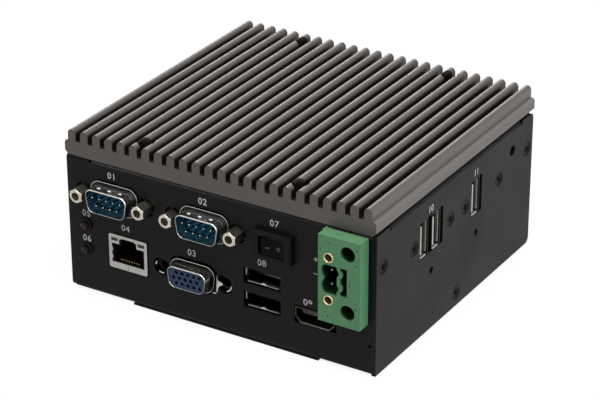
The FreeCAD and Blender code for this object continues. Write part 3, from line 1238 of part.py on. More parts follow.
tails = sketch_on(term, "tail_slots", "XZ", term_front)
for side in (-1, 1):
    window(tails, S.pin_x, S.pin_z + S.pin_spacing / 2 * side, S.pin_wide, S.pin_wide)
term.Tip = pocket(term, tails, "tail_ways", S.term_proud + S.term_back + S.plate_thick + 1, "XZ", 1)
node(term)
insert = turned("insert_source", [
    (S.insert_wide / 2 - 0.75, Size(-6.0, "(0 - 6)")), (S.insert_wide / 2, Size(-6.0, "(0 - 6)")),
    (S.insert_wide / 2, Size(0.3, "0.3")), (S.insert_wide / 2 - 0.75, Size(0.3, "0.3"))])
node(copies("terminal_inserts", insert,
            [(S.insert_x, term_front, S.insert_z + S.insert_spacing / 2 * side, "-y")
             for side in (-1, 1)]))
pin_parts = []
for index, side in enumerate((-1, 1), start=1):
    middle = S.pin_z + S.pin_spacing / 2 * side
    pin_parts.append(box("terminal_pin_" + str(index), S.pin_x - S.pin_wide / 2,
                         S.pin_x + S.pin_wide / 2, term_front + 2.6,
                         panel_back + S.term_back + 2.0, middle - S.pin_wide / 2,
                         middle + S.pin_wide / 2))
node(group("terminal_pins", pin_parts))
# ---------------------------------------------------------------- ports in the right side
side_board_thick = 1.6
SIDE_PORTS = [pair_y - S.side_pair_pitch / 2, pair_y + S.side_pair_pitch / 2, S.side_one_y]
side_board = body_of("side_port_board")
side_sketch = sketch_on(side_board, "side_board_face", "YZ", S.side_board_x)
outline(side_sketch, [(Size(-35.0, "(0 - 35)"), S.side_board_low),
                      (Size(35.0, "35"), S.side_board_low),
                      (Size(35.0, "35"), S.side_board_high),
                      (Size(-35.0, "(0 - 35)"), S.side_board_high)])
for y, z in SPACER_SPOTS:
    disc(side_sketch, y, z, S.post_hole / 2)
side_board.Tip = pad(side_board, side_sketch, "side_board_sheet", side_board_thick, "YZ", 1)
node(side_board)
spacer_start = S.side_board_x + side_board_thick
spacer = turned("spacer_source", [
    (S.screw_rod / 2 + S.thread_gap, Size(0.0, "0")), (Size(2.5, "2.5"), Size(0.0, "0")),
    (Size(2.5, "2.5"), inner_x - spacer_start),
    (S.screw_rod / 2 + S.thread_gap, inner_x - spacer_start)])
node(copies("side_port_spacers", spacer,
            [(spacer_start, y, z, "+x") for y, z in SPACER_SPOTS]))
board_screws += [(S.side_board_x, y, z, "-x") for y, z in SPACER_SPOTS]
node(copies("board_screws", board_screw, board_screws))
shells = []
side_tongues = []
for index, y in enumerate(SIDE_PORTS, start=1):
    low = S.side_port_z - S.side_shell_high / 2
    top = S.side_port_z + S.side_shell_high / 2
    half = S.side_shell_wide / 2
    outer = box("side_can_" + str(index), spacer_start, half_wide - 0.2, y - half, y + half,
                low, top)
    wall = 0.3
    inner = box("side_room_" + str(index), half_wide - S.usb_deep + 1, half_wide + 1,
                y - half + wall, y + half - wall, low + wall, top - wall)
    shells.append(cut_out("side_shell_" + str(index), outer, [inner]))
    side_tongues.append(box("side_tongue_" + str(index), half_wide - S.usb_deep + 1,
                            half_wide - 2.4, y - 0.2, y + 1.7, low + 1.2, top - 1.2))
node(group("side_port_cans", shells))
node(group("side_port_tongues", side_tongues))

doc.recompute()
bad = []
for thing in doc.Objects:
    if "Invalid" in thing.State or "Error" in thing.State:
        bad.append(thing.Name + " " + str(thing.State))
for thing in NODES:
    if thing is None:
        continue
    if thing.Shape.isNull() or not thing.Shape.isValid() or not thing.Shape.Solids:
        bad.append(thing.Label + " has no valid shape")
if bad:
    raise RuntimeError("; ".join(bad))

os.makedirs("parts", exist_ok=True)
for thing in NODES:
    if thing is not None:
        thing.Shape.exportStep("parts/" + thing.Label + ".step")
print(len(NODES), "nodes written")
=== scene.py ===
import json
import math

import bmesh
import bpy
from mathutils import Matrix, Vector


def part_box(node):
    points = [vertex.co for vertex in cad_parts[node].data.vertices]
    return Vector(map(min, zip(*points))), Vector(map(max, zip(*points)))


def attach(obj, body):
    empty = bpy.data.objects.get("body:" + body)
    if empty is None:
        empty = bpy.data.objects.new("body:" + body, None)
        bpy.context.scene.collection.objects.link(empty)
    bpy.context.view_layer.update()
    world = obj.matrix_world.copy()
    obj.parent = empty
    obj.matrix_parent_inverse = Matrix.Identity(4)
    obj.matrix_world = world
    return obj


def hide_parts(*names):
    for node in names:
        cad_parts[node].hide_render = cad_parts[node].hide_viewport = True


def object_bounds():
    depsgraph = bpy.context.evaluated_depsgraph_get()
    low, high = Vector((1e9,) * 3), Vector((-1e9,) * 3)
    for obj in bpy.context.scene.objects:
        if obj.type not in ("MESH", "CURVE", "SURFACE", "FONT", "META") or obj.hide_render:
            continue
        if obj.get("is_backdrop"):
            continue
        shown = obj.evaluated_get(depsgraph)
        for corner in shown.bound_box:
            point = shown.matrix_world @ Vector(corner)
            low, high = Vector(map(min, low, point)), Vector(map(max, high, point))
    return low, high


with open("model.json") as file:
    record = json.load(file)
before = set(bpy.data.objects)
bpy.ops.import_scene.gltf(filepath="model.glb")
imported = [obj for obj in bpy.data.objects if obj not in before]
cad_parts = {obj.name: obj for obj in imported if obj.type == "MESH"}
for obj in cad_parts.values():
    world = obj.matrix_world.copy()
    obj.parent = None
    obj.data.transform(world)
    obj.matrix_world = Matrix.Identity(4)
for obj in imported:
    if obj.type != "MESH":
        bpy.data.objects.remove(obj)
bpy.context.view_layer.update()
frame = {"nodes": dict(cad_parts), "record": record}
nodes = frame["nodes"]
record = frame["record"]
MM = 0.001
PANEL = -0.055          # Y of the front panel's outer face
BEND_FOOT, BEND_TOP = 0.0499, 0.0509        # Z of the painted highlight along the bend over the panel
BEND_LEFT = -0.0499     # X where the painted bend highlight starts
TO_FRONT = Matrix.Rotation(math.radians(90.0), 4, "X")      # stands the XY plane up


# ---- materials
class Tree:
    """Short calls for the shader nodes of a material or the world."""

    def __init__(self, owner):
        owner.use_nodes = True
        self.tree = owner.node_tree
        self.tree.nodes.clear()

    def node(self, kind, **inputs):
        """A new node; each input is a number, a colour or another node's output."""
        made = self.tree.nodes.new("ShaderNode" + kind)
        for word, value in inputs.items():
            self.feed(made.inputs[word.replace("_", " ")], value)
        return made

    def feed(self, socket, value):
        if isinstance(value, bpy.types.NodeSocket):
            self.tree.links.new(value, socket)
        else:
            socket.default_value = value

    def sum(self, operation, *values):
        made = self.node("Math")
        made.operation = operation
        for socket, value in zip(made.inputs, values):
            self.feed(socket, value)
        return made.outputs["Value"]

    def times(self, first, *others):
        for other in others:
            first = self.sum("MULTIPLY", first, other)
        return first

    def span(self, source, low, high, start=0.3, stop=0.7):
        """The source's range from start to stop, moved to low to high."""
        return self.node("MapRange", Value=source, From_Min=start, From_Max=stop, To_Min=low,
                         To_Max=high).outputs["Result"]


class Graph(Tree):
    """A material with one principled shader."""

    def __init__(self, name):
        self.material = bpy.data.materials.new(name)
        super().__init__(self.material)
        self.shader = self.node("BsdfPrincipled")
        self.node("OutputMaterial", Surface=self.shader.outputs["BSDF"])
        self.where = self.node("TexCoord").outputs["Object"]
        self.facing = self.node("NewGeometry").outputs["Normal"]

    def give(self, word, value):
        self.feed(self.shader.inputs[word], value)

    def noise(self, scale, detail=3.0, rough=0.55, stretch=(1.0, 1.0, 1.0)):
        spread = self.node("Mapping", Vector=self.where, Scale=stretch).outputs["Vector"]
        return self.node("TexNoise", Vector=spread, Scale=scale, Detail=detail,
                         Roughness=rough).outputs["Fac"]

    def cells(self, scale):
        return self.node("TexVoronoi", Vector=self.where, Scale=scale).outputs["Distance"]

    def blend(self, source, low, high, start=0.3, stop=0.7):
        """A colour between low and high, led by the source."""
        ramp = self.node("ValToRGB", Fac=source)
        for end, place, colour in zip(ramp.color_ramp.elements, (start, stop), (low, high)):
            end.position = place
            end.color = (*colour, 1.0)
        return ramp.outputs["Color"]

    def over(self, factor, under, upper):
        mix = self.node("Mix")
        mix.data_type = "RGBA"
        for word, value in (("Factor", factor), ("A", under), ("B", upper)):
            self.feed(mix.inputs[word], value)
        return mix.outputs["Result"]

    def add(self, first, second, share):
        return self.sum("MULTIPLY_ADD", second, share, first)

    def parts_of(self, source):
        """The X, Y and Z of a vector."""
        return self.node("SeparateXYZ", Vector=source).outputs

    def within(self, source, low, high, soft):
        """1 between low and high, and 0 outside, with soft ends inside the range."""
        return self.times(self.span(source, 0.0, 1.0, low, low + soft),
                          self.span(source, 1.0, 0.0, high - soft, high))

    def bump(self, source, distance, strength, edge=0.0):
        """Relief from the source; edge rounds the corners to the light."""
        made = self.node("Bump", Distance=distance, Strength=strength, Height=source)
        if edge:
            soft = self.node("Bevel", Radius=edge)
            soft.samples = 4
            self.feed(made.inputs["Normal"], soft.outputs["Normal"])
        self.give("Normal", made.outputs["Normal"])


def finish_of(name, low, high, rough, scale=900.0, grain=2600.0, depth=0.00002, strength=0.35,
              metallic=0.0, specular=0.5, stretch=(1.0, 1.0, 1.0), edge=0.0):
    """A finish with a drifting colour, an uneven sheen and a fine grain."""
    made = Graph(name)
    tone = made.noise(scale, 4.0, 0.6, stretch)
    made.give("Base Color", made.blend(tone, low, high))
    worn = made.noise(scale * 0.13, 3.0, 0.6)
    made.give("Roughness", made.span(worn, rough[0], rough[1]))
    made.bump(made.noise(grain, 3.0, 0.6, stretch), depth, strength, edge)
    made.give("Metallic", metallic)
    made.give("Specular IOR Level", specular)
    return made.material


def heatsink_finish():
    """Sand-blasted and anodised extrusion: fine grain, faint die lines along Y; painted shade in
    the slots and recess, painted light on the right side, the step ledge and the fin crests.
    """
    made = Graph("heatsink_anodised_finish")
    speckle = made.noise(5200.0, 2.0, 0.7)

    def flecked(dark, pale):
        return made.blend(speckle, dark, pale, 0.25, 0.75)

    tone = flecked((0.078, 0.0700, 0.0650), (0.126, 0.114, 0.1060))
    drift = made.noise(45.0, 4.0, 0.6)
    shade = made.blend(drift, (0.089, 0.0800, 0.0745), (0.111, 0.100, 0.0930))
    grey = made.over(0.5, tone, shade)
    low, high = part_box("heatsink")
    at = made.parts_of(made.where)
    way = made.parts_of(made.facing)
    inside = made.times(made.within(at["X"], low.x + 0.0016, high.x - 0.0016, 0.0002),
                        made.within(at["Y"], low.y + 0.0001, high.y - 0.0001, 0.0002))
    # Painted shade: the slots and recess get darker further down.
    slot = made.times(inside, made.span(at["Z"], 1.0, 0.0, high.z - 0.0020, high.z - 0.00035))
    depth = made.blend(made.noise(900.0), (0.016, 0.0125, 0.0105), (0.026, 0.021, 0.018))
    # Painted light: the right side is lighter, as if lit more strongly.
    side = made.times(made.span(at["X"], 0.0, 1.0, high.x - 0.0024, high.x - 0.0020),
                      made.span(way["X"], 0.0, 1.0, 0.35, 0.85))
    painted_side_light = flecked((0.122, 0.111, 0.105), (0.185, 0.170, 0.161))
    # Painted highlight along the step ledge on the right side.
    ledge = made.times(made.span(at["X"], 0.0, 1.0, high.x - 0.0030, high.x - 0.0022),
                       made.span(at["Z"], 1.0, 0.0, high.z - 0.0030, high.z - 0.0022),
                       made.span(way["Z"], 0.0, 1.0, 0.15, 0.60))
    # Painted highlight along the fin crests.
    crest = made.times(inside, made.span(at["Z"], 0.0, 1.0, high.z - 0.00040, high.z - 0.00008))
    light = flecked((0.165, 0.152, 0.144), (0.245, 0.227, 0.216))
    tone = made.over(side, made.over(slot, grey, depth), painted_side_light)
    painted_crest_highlight = flecked((0.116, 0.106, 0.100), (0.172, 0.158, 0.150))
    tone = made.over(crest, made.over(ledge, tone, light), painted_crest_highlight)
    made.give("Base Color", tone)
    worn = made.noise(300.0, 4.0, 0.65, (1.0, 0.08, 1.0))
    made.give("Roughness", made.span(worn, 0.36, 0.46))
    lines = made.noise(2600.0, 2.0, 0.5, (1.0, 0.004, 1.0))
    grain = made.noise(4200.0, 2.0, 0.6)
    made.bump(made.add(grain, lines, 0.7), 0.00003, 0.55, 0.00025)
    made.give("Metallic", 0.5)
    made.give("Specular IOR Level", 0.4)
    return made.material


def coating_finish(name, specular, low, high, bend=False):
    """Fine-textured black powder coat over folded steel, with a painted highlight along the top
    bend.
    """
    made = Graph(name)
    fleck = made.cells(2400.0)
    tone = made.blend(fleck, high, low, 0.1, 0.6)
    if bend:
        at = made.parts_of(made.where)
        # Painted highlight: a lighter band along the bend, fading to the right.
        mask = made.times(made.span(at["Z"], 0.0, 1.0, BEND_FOOT, BEND_FOOT + 0.0003),
                          made.span(at["Z"], 1.0, 0.0, BEND_TOP - 0.0002, BEND_TOP),
                          made.span(at["X"], 0.0, 1.0, BEND_LEFT, BEND_LEFT + 0.0003),
                          made.span(at["X"], 1.0, 0.35, -0.03, 0.03))
        painted_bend_highlight = made.blend(made.noise(500.0), (0.060, 0.056, 0.058), (0.100, 0.094, 0.097))
        tone = made.over(mask, tone, painted_bend_highlight)
    made.give("Base Color", tone)
    worn = made.noise(38.0, 5.0, 0.6)
    made.give("Roughness", made.span(worn, 0.40, 0.52))
    orange = made.noise(2100.0, 3.0, 0.6)
    made.bump(made.add(orange, fleck, 0.5), 0.00003, 0.5, 0.0003)
    made.give("Specular IOR Level", specular)
    return made.material


def board_finish():
    """Solder mask with the copper tracks standing through it."""
    made = Graph("board_green_finish")
    track = made.node("TexBrick", Vector=made.where, Scale=320.0, Mortar_Size=0.03,
                      Color1=(0.008, 0.060, 0.022, 1.0), Color2=(0.010, 0.075, 0.028, 1.0),
                      Mortar=(0.028, 0.130, 0.050, 1.0))
    made.give("Base Color", track.outputs["Color"])
    made.give("Roughness", made.span(made.noise(240.0), 0.26, 0.40))
    made.bump(track.outputs["Fac"], 0.00003, 0.6)
    return made.material


def terminal_finish():
    """Green nylon, with painted shade in the depths of its wells and cavities and painted light on
    faces turned up.
    """
    made = Graph("terminal_green_finish")
    low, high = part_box("power_terminal")
    tone = made.blend(made.noise(900.0, 4.0, 0.6), (0.086, 0.272, 0.119),
                      (0.109, 0.316, 0.146))
    # Painted light: faces turned up are paler green.
    pale = made.blend(made.noise(900.0, 4.0, 0.6), (0.130, 0.336, 0.164),
                      (0.162, 0.386, 0.198))
    tone = made.over(made.span(made.parts_of(made.facing)["Z"], 0.0, 1.0, 0.4, 0.9), tone, pale)
    at = made.parts_of(made.where)
    # Painted shade inside the cavity, key slot and wells, deeper than the face.
    inside = made.times(
        made.span(at["Y"], 0.0, 1.0, low.y + 0.00015, low.y + 0.0013),
        made.span(at["X"], 0.0, 1.0, low.x + 0.0006, low.x + 0.0008),
        made.span(at["X"], 1.0, 0.0, high.x - 0.0016, high.x - 0.0012),
        made.span(at["Z"], 0.0, 1.0, low.z + 0.0012, low.z + 0.0016),
        made.span(at["Z"], 1.0, 0.0, high.z - 0.0020, high.z - 0.0014))
    shade = made.blend(made.noise(1200.0), (0.0065, 0.026, 0.011), (0.011, 0.042, 0.018))
    made.give("Base Color", made.over(inside, tone, shade))
    made.give("Roughness", made.span(made.noise(120.0), 0.38, 0.50))
    made.bump(made.noise(2600.0), 0.00002, 0.25, 0.00010)
    made.give("Specular IOR Level", 0.42)
    return made.material


FINISH = {
    "heatsink_anodised": heatsink_finish(),
    "sheet_coating": coating_finish("sheet_coating_finish", 0.115, (0.0036, 0.0038, 0.0037),
                                    (0.0072, 0.0076, 0.0074), True),
    "side_coating": coating_finish("side_coating_finish", 0.125, (0.0052, 0.0053, 0.0052),
                                   (0.0098, 0.0100, 0.0098)),
    "black_screws": finish_of("black_screw_finish", (0.002, 0.002, 0.002), (0.005, 0.005, 0.005),
                              (0.36, 0.48), specular=0.06, edge=0.0001),
    "zinc_hardware": finish_of("zinc_finish", (0.46, 0.46, 0.47), (0.60, 0.60, 0.60),
                               (0.26, 0.44), metallic=1.0),
    "brass_hardware": finish_of("brass_finish", (0.54, 0.42, 0.25), (0.70, 0.55, 0.34),
                                (0.24, 0.36), metallic=1.0),
    "board_green": board_finish(),
    "machined_block": finish_of("machined_block_finish", (0.55, 0.55, 0.56), (0.70, 0.70, 0.70),
                                (0.22, 0.40), scale=400.0, metallic=1.0,
                                stretch=(1.0, 0.05, 1.0)),
    "thermal_pad_grey": finish_of("thermal_pad_finish", (0.20, 0.22, 0.25), (0.28, 0.30, 0.33),
                                  (0.60, 0.80), strength=0.6),
    "chip_black": finish_of("chip_finish", (0.011, 0.011, 0.012), (0.024, 0.024, 0.025),
                            (0.40, 0.56)),
    "capacitor_can": finish_of("capacitor_finish", (0.50, 0.51, 0.52), (0.64, 0.64, 0.65),
                               (0.22, 0.36), metallic=1.0),
    "drive_metal": finish_of("drive_finish", (0.34, 0.35, 0.36), (0.46, 0.47, 0.48),
                             (0.30, 0.46), scale=300.0, metallic=1.0, stretch=(1.0, 0.04, 1.0)),
    "cell_metal": finish_of("cell_finish", (0.60, 0.60, 0.60), (0.74, 0.74, 0.73),
                            (0.18, 0.32), metallic=1.0),
    "black_moulding": finish_of("black_moulding_finish", (0.0025, 0.0025, 0.0025),
                                (0.0055, 0.0055, 0.0055), (0.36, 0.50), specular=0.10,
                                edge=0.00015),
    "rocker_black": finish_of("rocker_finish", (0.002, 0.002, 0.002), (0.0045, 0.0045, 0.0045),
                              (0.30, 0.42), specular=0.05),
    "nickel_shell": finish_of("nickel_finish", (0.54, 0.525, 0.49), (0.70, 0.68, 0.64),
                              (0.20, 0.30), metallic=1.0),
    "tin_can": finish_of("tin_finish", (0.46, 0.45, 0.43), (0.56, 0.55, 0.52),
                         (0.30, 0.44), metallic=1.0),
    "gold_contacts": finish_of("gold_finish", (0.42, 0.31, 0.13), (0.54, 0.40, 0.19),
                               (0.20, 0.32), metallic=1.0),
    "serial_blue": finish_of("serial_blue_finish", (0.012, 0.110, 0.215), (0.022, 0.165, 0.300),
                             (0.50, 0.62), specular=0.15),
    "video_blue": finish_of("video_blue_finish", (0.020, 0.044, 0.094), (0.032, 0.064, 0.130),
                            (0.42, 0.56), specular=0.25),
    "light_pipe": finish_of("light_pipe_finish", (0.020, 0.022, 0.018), (0.040, 0.042, 0.036),
                            (0.24, 0.36), specular=0.25),
    "red_lens": finish_of("red_lens_finish", (0.016, 0.0016, 0.003), (0.030, 0.0026, 0.005),
                          (0.12, 0.20), specular=0.18),
    "smoke_lens": finish_of("smoke_lens_finish", (0.002, 0.002, 0.002), (0.005, 0.005, 0.005),
                            (0.12, 0.20), specular=0.18),
    "terminal_green": terminal_finish(),
}
# Finishes for pieces set apart from the rest of their slot: DARK_BORE, DARK_CAN and DIM_TIN are
# painted shade on metal, the others the pieces' own metal or tone.
# Painted shade: thread metal darkened to look like the shade down a bore.
DARK_BORE = finish_of("dark_bore_finish", (0.018, 0.013, 0.008), (0.055, 0.040, 0.025),
                      (0.30, 0.44), metallic=1.0)
# Painted shade: port cans darkened to look like the shade inside the mouths.
DARK_CAN = finish_of("dark_can_finish", (0.035, 0.033, 0.022), (0.070, 0.066, 0.046),
                     (0.34, 0.48), metallic=1.0)
JACK_NICKEL = finish_of("jackscrew_finish", (0.44, 0.40, 0.345), (0.58, 0.54, 0.47),
                        (0.24, 0.36), metallic=1.0)
JACK_FACE = finish_of("jack_face_finish", (0.335, 0.325, 0.308), (0.405, 0.395, 0.375),
                      (0.34, 0.48), metallic=1.0)
DULL_PIN = finish_of("terminal_pin_finish", (0.12, 0.12, 0.125), (0.19, 0.19, 0.20),
                     (0.22, 0.32), metallic=1.0)
TONGUE = finish_of("tongue_finish", (0.030, 0.030, 0.033), (0.050, 0.050, 0.054),
                   (0.36, 0.48))
OLIVE = finish_of("olive_tongue_finish", (0.008, 0.008, 0.004), (0.014, 0.014, 0.007),
                  (0.40, 0.52), specular=0.2)
# Painted shade: a dimmer copy of the tin for lips that lie in shade.
DIM_TIN = finish_of("dim_tin_finish", (0.17, 0.165, 0.155), (0.24, 0.23, 0.22),
                    (0.30, 0.42), metallic=1.0)
PIN_TIP = finish_of("pin_tip_finish", (0.30, 0.29, 0.235), (0.40, 0.39, 0.32),
                    (0.14, 0.22), metallic=1.0)
SLOT = {part["node"]: part["material_slot"] for part in record["subparts"]}


def ink_finish(name, colour):
    """Printed ink, thin in places."""
    return finish_of(name, tuple(0.82 * c for c in colour), colour, (0.45, 0.60), scale=2600.0,
                     grain=5200.0, depth=0.00001)


INK = ink_finish("white_ink", (0.78, 0.78, 0.77))
DULL_INK = ink_finish("grey_ink", (0.22, 0.22, 0.22))

for name, thing in nodes.items():
    finish = FINISH[SLOT[name]]
    if not thing.material_slots:
        thing.data.materials.append(finish)
    for place in thing.material_slots:
        place.material = finish


# ---- making pieces
def in_scene(name, data):
    """A new object in the scene."""
    thing = bpy.data.objects.new(name, data)
    bpy.context.scene.collection.objects.link(thing)
    return thing


def settle(name, mesh, finish, body="case", instead=()):
    """Puts a finished mesh in the scene as one piece."""
    thing = in_scene(name, mesh)
    mesh.materials.clear()
    mesh.materials.append(finish)
    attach(thing, body)
    if instead:
        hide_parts(*instead)
    return thing


def mesh_of(bm, name, smooth=35.0):
    """A mesh with smooth shading, sharp past an angle in degrees."""
    bmesh.ops.recalc_face_normals(bm, faces=bm.faces)
    mesh = bpy.data.meshes.new(name)
    bm.to_mesh(mesh)
    bm.free()
    mesh.shade_smooth()
    mesh.set_sharp_from_angle(angle=math.radians(smooth))
    return mesh


def baked(thing, *others):
    """What an object looks like, as a mesh; the working objects are removed."""
    bpy.context.view_layer.update()
    seen = bpy.context.evaluated_depsgraph_get()
    made = bpy.data.meshes.new_from_object(thing.evaluated_get(seen))
    for item in (*others, thing):
        bpy.data.objects.remove(item)
    return made


def applied(mesh, steps):
    """The mesh with modifiers run on it; steps are (type, {setting: value})."""
    thing = in_scene("working", mesh)
    for kind, settings in steps:
        step = thing.modifiers.new(kind.lower(), kind)
        for word, value in settings.items():
            setattr(step, word, value)
    return baked(thing)


def softened(mesh, width, segments=2, angle=30.0):
    """The mesh with its edges rounded."""
    return applied(mesh, [
        ("BEVEL", {"width": width, "segments": segments, "limit_method": "ANGLE",
                   "angle_limit": math.radians(angle), "harden_normals": True,
                   "use_clamp_overlap": True}),
        ("WEIGHTED_NORMAL", {"keep_sharp": True, "weight": 80})])


def merged(mesh, gap=1e-7, whole=False):
    """A mesh to work on, with close vertices merged and, if asked, its flat faces whole."""
    bm = bmesh.new()
    bm.from_mesh(mesh)
    bmesh.ops.remove_doubles(bm, verts=bm.verts, dist=gap)
    if whole:
        bmesh.ops.dissolve_limit(bm, angle_limit=math.radians(0.6), verts=bm.verts,
                                 edges=bm.edges)
    return bm


def copy_of(node):
    """A working copy of a CAD node's mesh."""
    return merged(nodes[node].data, 2e-6, True)


def welded(mesh, name):
    """The mesh with its flat faces whole, so that its edges can be rounded."""
    return mesh_of(merged(mesh, 1e-6, True), name, 30.0)


def join(meshes, name):
    """Several meshes as one, with the flat faces shaded flat."""
    bm = bmesh.new()
    for mesh in meshes:
        bm.from_mesh(mesh)
    return applied(mesh_of(bm, name), [("WEIGHTED_NORMAL", {"keep_sharp": True, "weight": 90})])


def walls(bm, low, high):
    """Faces between two loops of as many vertices."""
    for step in range(len(low)):
        after = (step + 1) % len(low)
        bm.faces.new((low[step], low[after], high[after], high[step]))


def spun(profile, steps=32):
    """A turned solid round +Z from (radius, height) points, closed on the axis."""
    bm = bmesh.new()
    rings = []
    for radius, height in profile:
        if radius < 1e-9:
            rings.append([bm.verts.new((0.0, 0.0, height))])
        else:
            rings.append([bm.verts.new((x, y, height))
                          for x, y in ring_points(0.0, 0.0, radius, steps)])
    for low, high in zip(rings, rings[1:]):
        if len(low) == len(high) > 1:
            walls(bm, low, high)
        elif len(low) != len(high):
            tip, ring = sorted((low, high), key=len)
            for step in range(steps):
                bm.faces.new((tip[0], ring[step], ring[(step + 1) % steps]))
    return bm


def swept(loops):
    """A skin through closed loops of equal length, closed back on the first."""
    bm = bmesh.new()
    rings = [[bm.verts.new(point) for point in loop] for loop in loops]
    for low, high in zip(rings, rings[1:] + rings[:1]):
        walls(bm, low, high)
    return bm


def prism(loops):
    """A solid through closed loops of equal length, with a face on each end."""
    bm = bmesh.new()
    rings = [[bm.verts.new(point) for point in loop] for loop in loops]
    bm.faces.new(rings[0])
    bm.faces.new(list(reversed(rings[-1])))
    for low, high in zip(rings, rings[1:]):
        walls(bm, low, high)
    return bm


def plate(outlines, low, high, bevel=0.0):
    """A flat plate with holes in the XZ plane, from y low to y high."""
    curve = bpy.data.curves.new("plate", "CURVE")
    curve.dimensions = "2D"
    curve.fill_mode = "BOTH"
    curve.extrude = (high - low) / 2 - bevel
    curve.bevel_depth = bevel
    curve.offset = -bevel
    curve.bevel_resolution = 1
    for points in outlines:
        spline = curve.splines.new("POLY")
        spline.points.add(len(points) - 1)
        for spot, (x, z) in zip(spline.points, points):
            spot.co = (x, z, 0.0, 1.0)
        spline.use_cyclic_u = True
    mesh = baked(in_scene("working", curve))
    mesh.transform(Matrix.Translation((0.0, (low + high) / 2, 0.0)) @ TO_FRONT)
    return mesh_of(merged(mesh), "plate")


def ring_points(x, z, radius, steps=24):
    """A circle's points."""
    return [(x + radius * math.cos(2 * math.pi * s / steps),
             z + radius * math.sin(2 * math.pi * s / steps)) for s in range(steps)]


def square_points(x0, x1, z0, z1, radius=0.0, steps=5):
    """A rectangle's points, with rounded corners where a radius is given."""
    if not radius:
        return [(x0, z0), (x1, z0), (x1, z1), (x0, z1)]
    points = []
    for cx, cz, start in ((x1 - radius, z0 + radius, -90.0), (x1 - radius, z1 - radius, 0.0),
                          (x0 + radius, z1 - radius, 90.0), (x0 + radius, z0 + radius, 180.0)):
        for step in range(steps + 1):
            turn = math.radians(start + 90.0 * step / steps)
            points.append((cx + radius * math.cos(turn), cz + radius * math.sin(turn)))
    return points


def d_points(x, z, wide, high, radius, grown=0.0, lean=10.0, steps=10):
    """The outline of a D connector, grown outwards by a distance."""
    slope = math.tan(math.radians(lean))
    reach = 1.0 / math.cos(math.radians(lean))
    top_x = wide / 2 - radius * (slope + reach)
    low_x = wide / 2 - (high - radius) * slope - radius * reach
    top_z = high / 2 - radius
    points = []
    for cx, cz, start, stop in ((low_x, -top_z, -90.0, -lean), (top_x, top_z, -lean, 90.0),
                                (-top_x, top_z, 90.0, 180.0 + lean),
                                (-low_x, -top_z, 180.0 + lean, 270.0)):
        for step in range(steps + 1):
            turn = math.radians(start + (stop - start) * step / steps)
            points.append((x + cx + (radius + grown) * math.cos(turn),
                           z + cz + (radius + grown) * math.sin(turn)))
    return points


def cut(mesh, tools):
    """The mesh less the tool meshes."""
    thing = in_scene("working", mesh)
    helpers = [in_scene("working", tool) for tool in tools]
    for helper in helpers:
        step = thing.modifiers.new("cut", "BOOLEAN")
        step.operation = "DIFFERENCE"
        step.solver = "EXACT"
        step.object = helper
    return baked(thing, *helpers)


def block(x0, x1, y0, y1, z0, z1, taper=1.0):
    """A six-sided block; taper narrows its low-Z end."""
    mx = (x0 + x1) / 2
    my = (y0 + y1) / 2
    return mesh_of(prism([[(mx + (x - mx) * share, my + (y - my) * share, z)
                           for x, y in square_points(x0, x1, y0, y1)]
                          for z, share in ((z0, taper), (z1, 1.0))]), "block")


def cross_head(profile, reach, wing, deep, top):
    """A turned screw with a tapered cross recess in its top."""
    body = mesh_of(spun(profile, 32), "screw")
    tools = [block(-reach, reach, -wing, wing, top - deep, top + 0.0002, 0.62),
             block(-wing, wing, -reach, reach, top - deep, top + 0.0002, 0.62),
             mesh_of(spun([(0.0, top - deep - 0.0003), (wing * 1.5, top - deep * 0.6),
                           (wing * 1.9, top + 0.0002), (0.0, top + 0.0002)], 12), "pilot")]
    return mesh_of(merged(cut(body, tools)), "screw", 28.0)


def middle_of(node):
    low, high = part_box(node)
    return (low + high) / 2


def centres(node):
    """The low and high corners of each separate solid of a node."""
    bm = merged(nodes[node].data, 2e-6)
    left = set(bm.verts)
    found = []
    while left:
        stack = [left.pop()]
        group = list(stack)
        while stack:
            for edge in stack.pop().link_edges:
                for vert in edge.verts:
                    if vert in left:
                        left.remove(vert)
                        stack.append(vert)
                        group.append(vert)
        low = Vector([min(v.co[i] for v in group) for i in range(3)])
        high = Vector([max(v.co[i] for v in group) for i in range(3)])
        found.append((low, high))
    bm.free()
    return sorted(found, key=lambda pair: tuple(round(c, 5) for c in pair[0]))


def placed(mesh, spots):
    """Copies of a mesh at (point, direction of its +Z, turn about it) as one mesh."""
    bm = bmesh.new()
    for point, way, turn in spots:
        part = mesh.copy()
        spin = Vector(way).to_track_quat("Z", "Y").to_matrix().to_4x4()
        part.transform(Matrix.Translation(point) @ spin
                       @ Matrix.Rotation(math.radians(turn), 4, "Z"))
        bm.from_mesh(part)
    return bm


def at_fronts(node, mesh, start, turn=0.0):
    """Copies of a mesh at each solid of a node, facing forwards, start behind its front."""
    spots = []
    for low, high in centres(node):
        x, _, z = (low + high) / 2
        spots.append((Vector((x, low.y + start, z)), (0, -1, 0), turn))
    return mesh_of(placed(mesh, spots), mesh.name, 50.0)


# ---- screws
def screws(node, name, profile, way, turns, reach=0.00155, wing=0.00034, deep=0.0011):
    """Stands detailed cross-head screws where a node's plain ones are."""
    axis = Vector(way)
    top = max(height for _, height in profile)
    spots = []
    for index, (low, high) in enumerate(centres(node)):
        middle = (low + high) / 2
        end = high if sum(axis) > 0 else low
        point = Vector([end[i] if abs(axis[i]) > 0.5 else middle[i] for i in range(3)])
        spots.append((point - axis * top, way, turns[index % len(turns)]))
    head = cross_head(profile, reach, wing, deep, top)
    settle(name, mesh_of(placed(head, spots), name, 28.0), FINISH["black_screws"],
           instead=(node,))


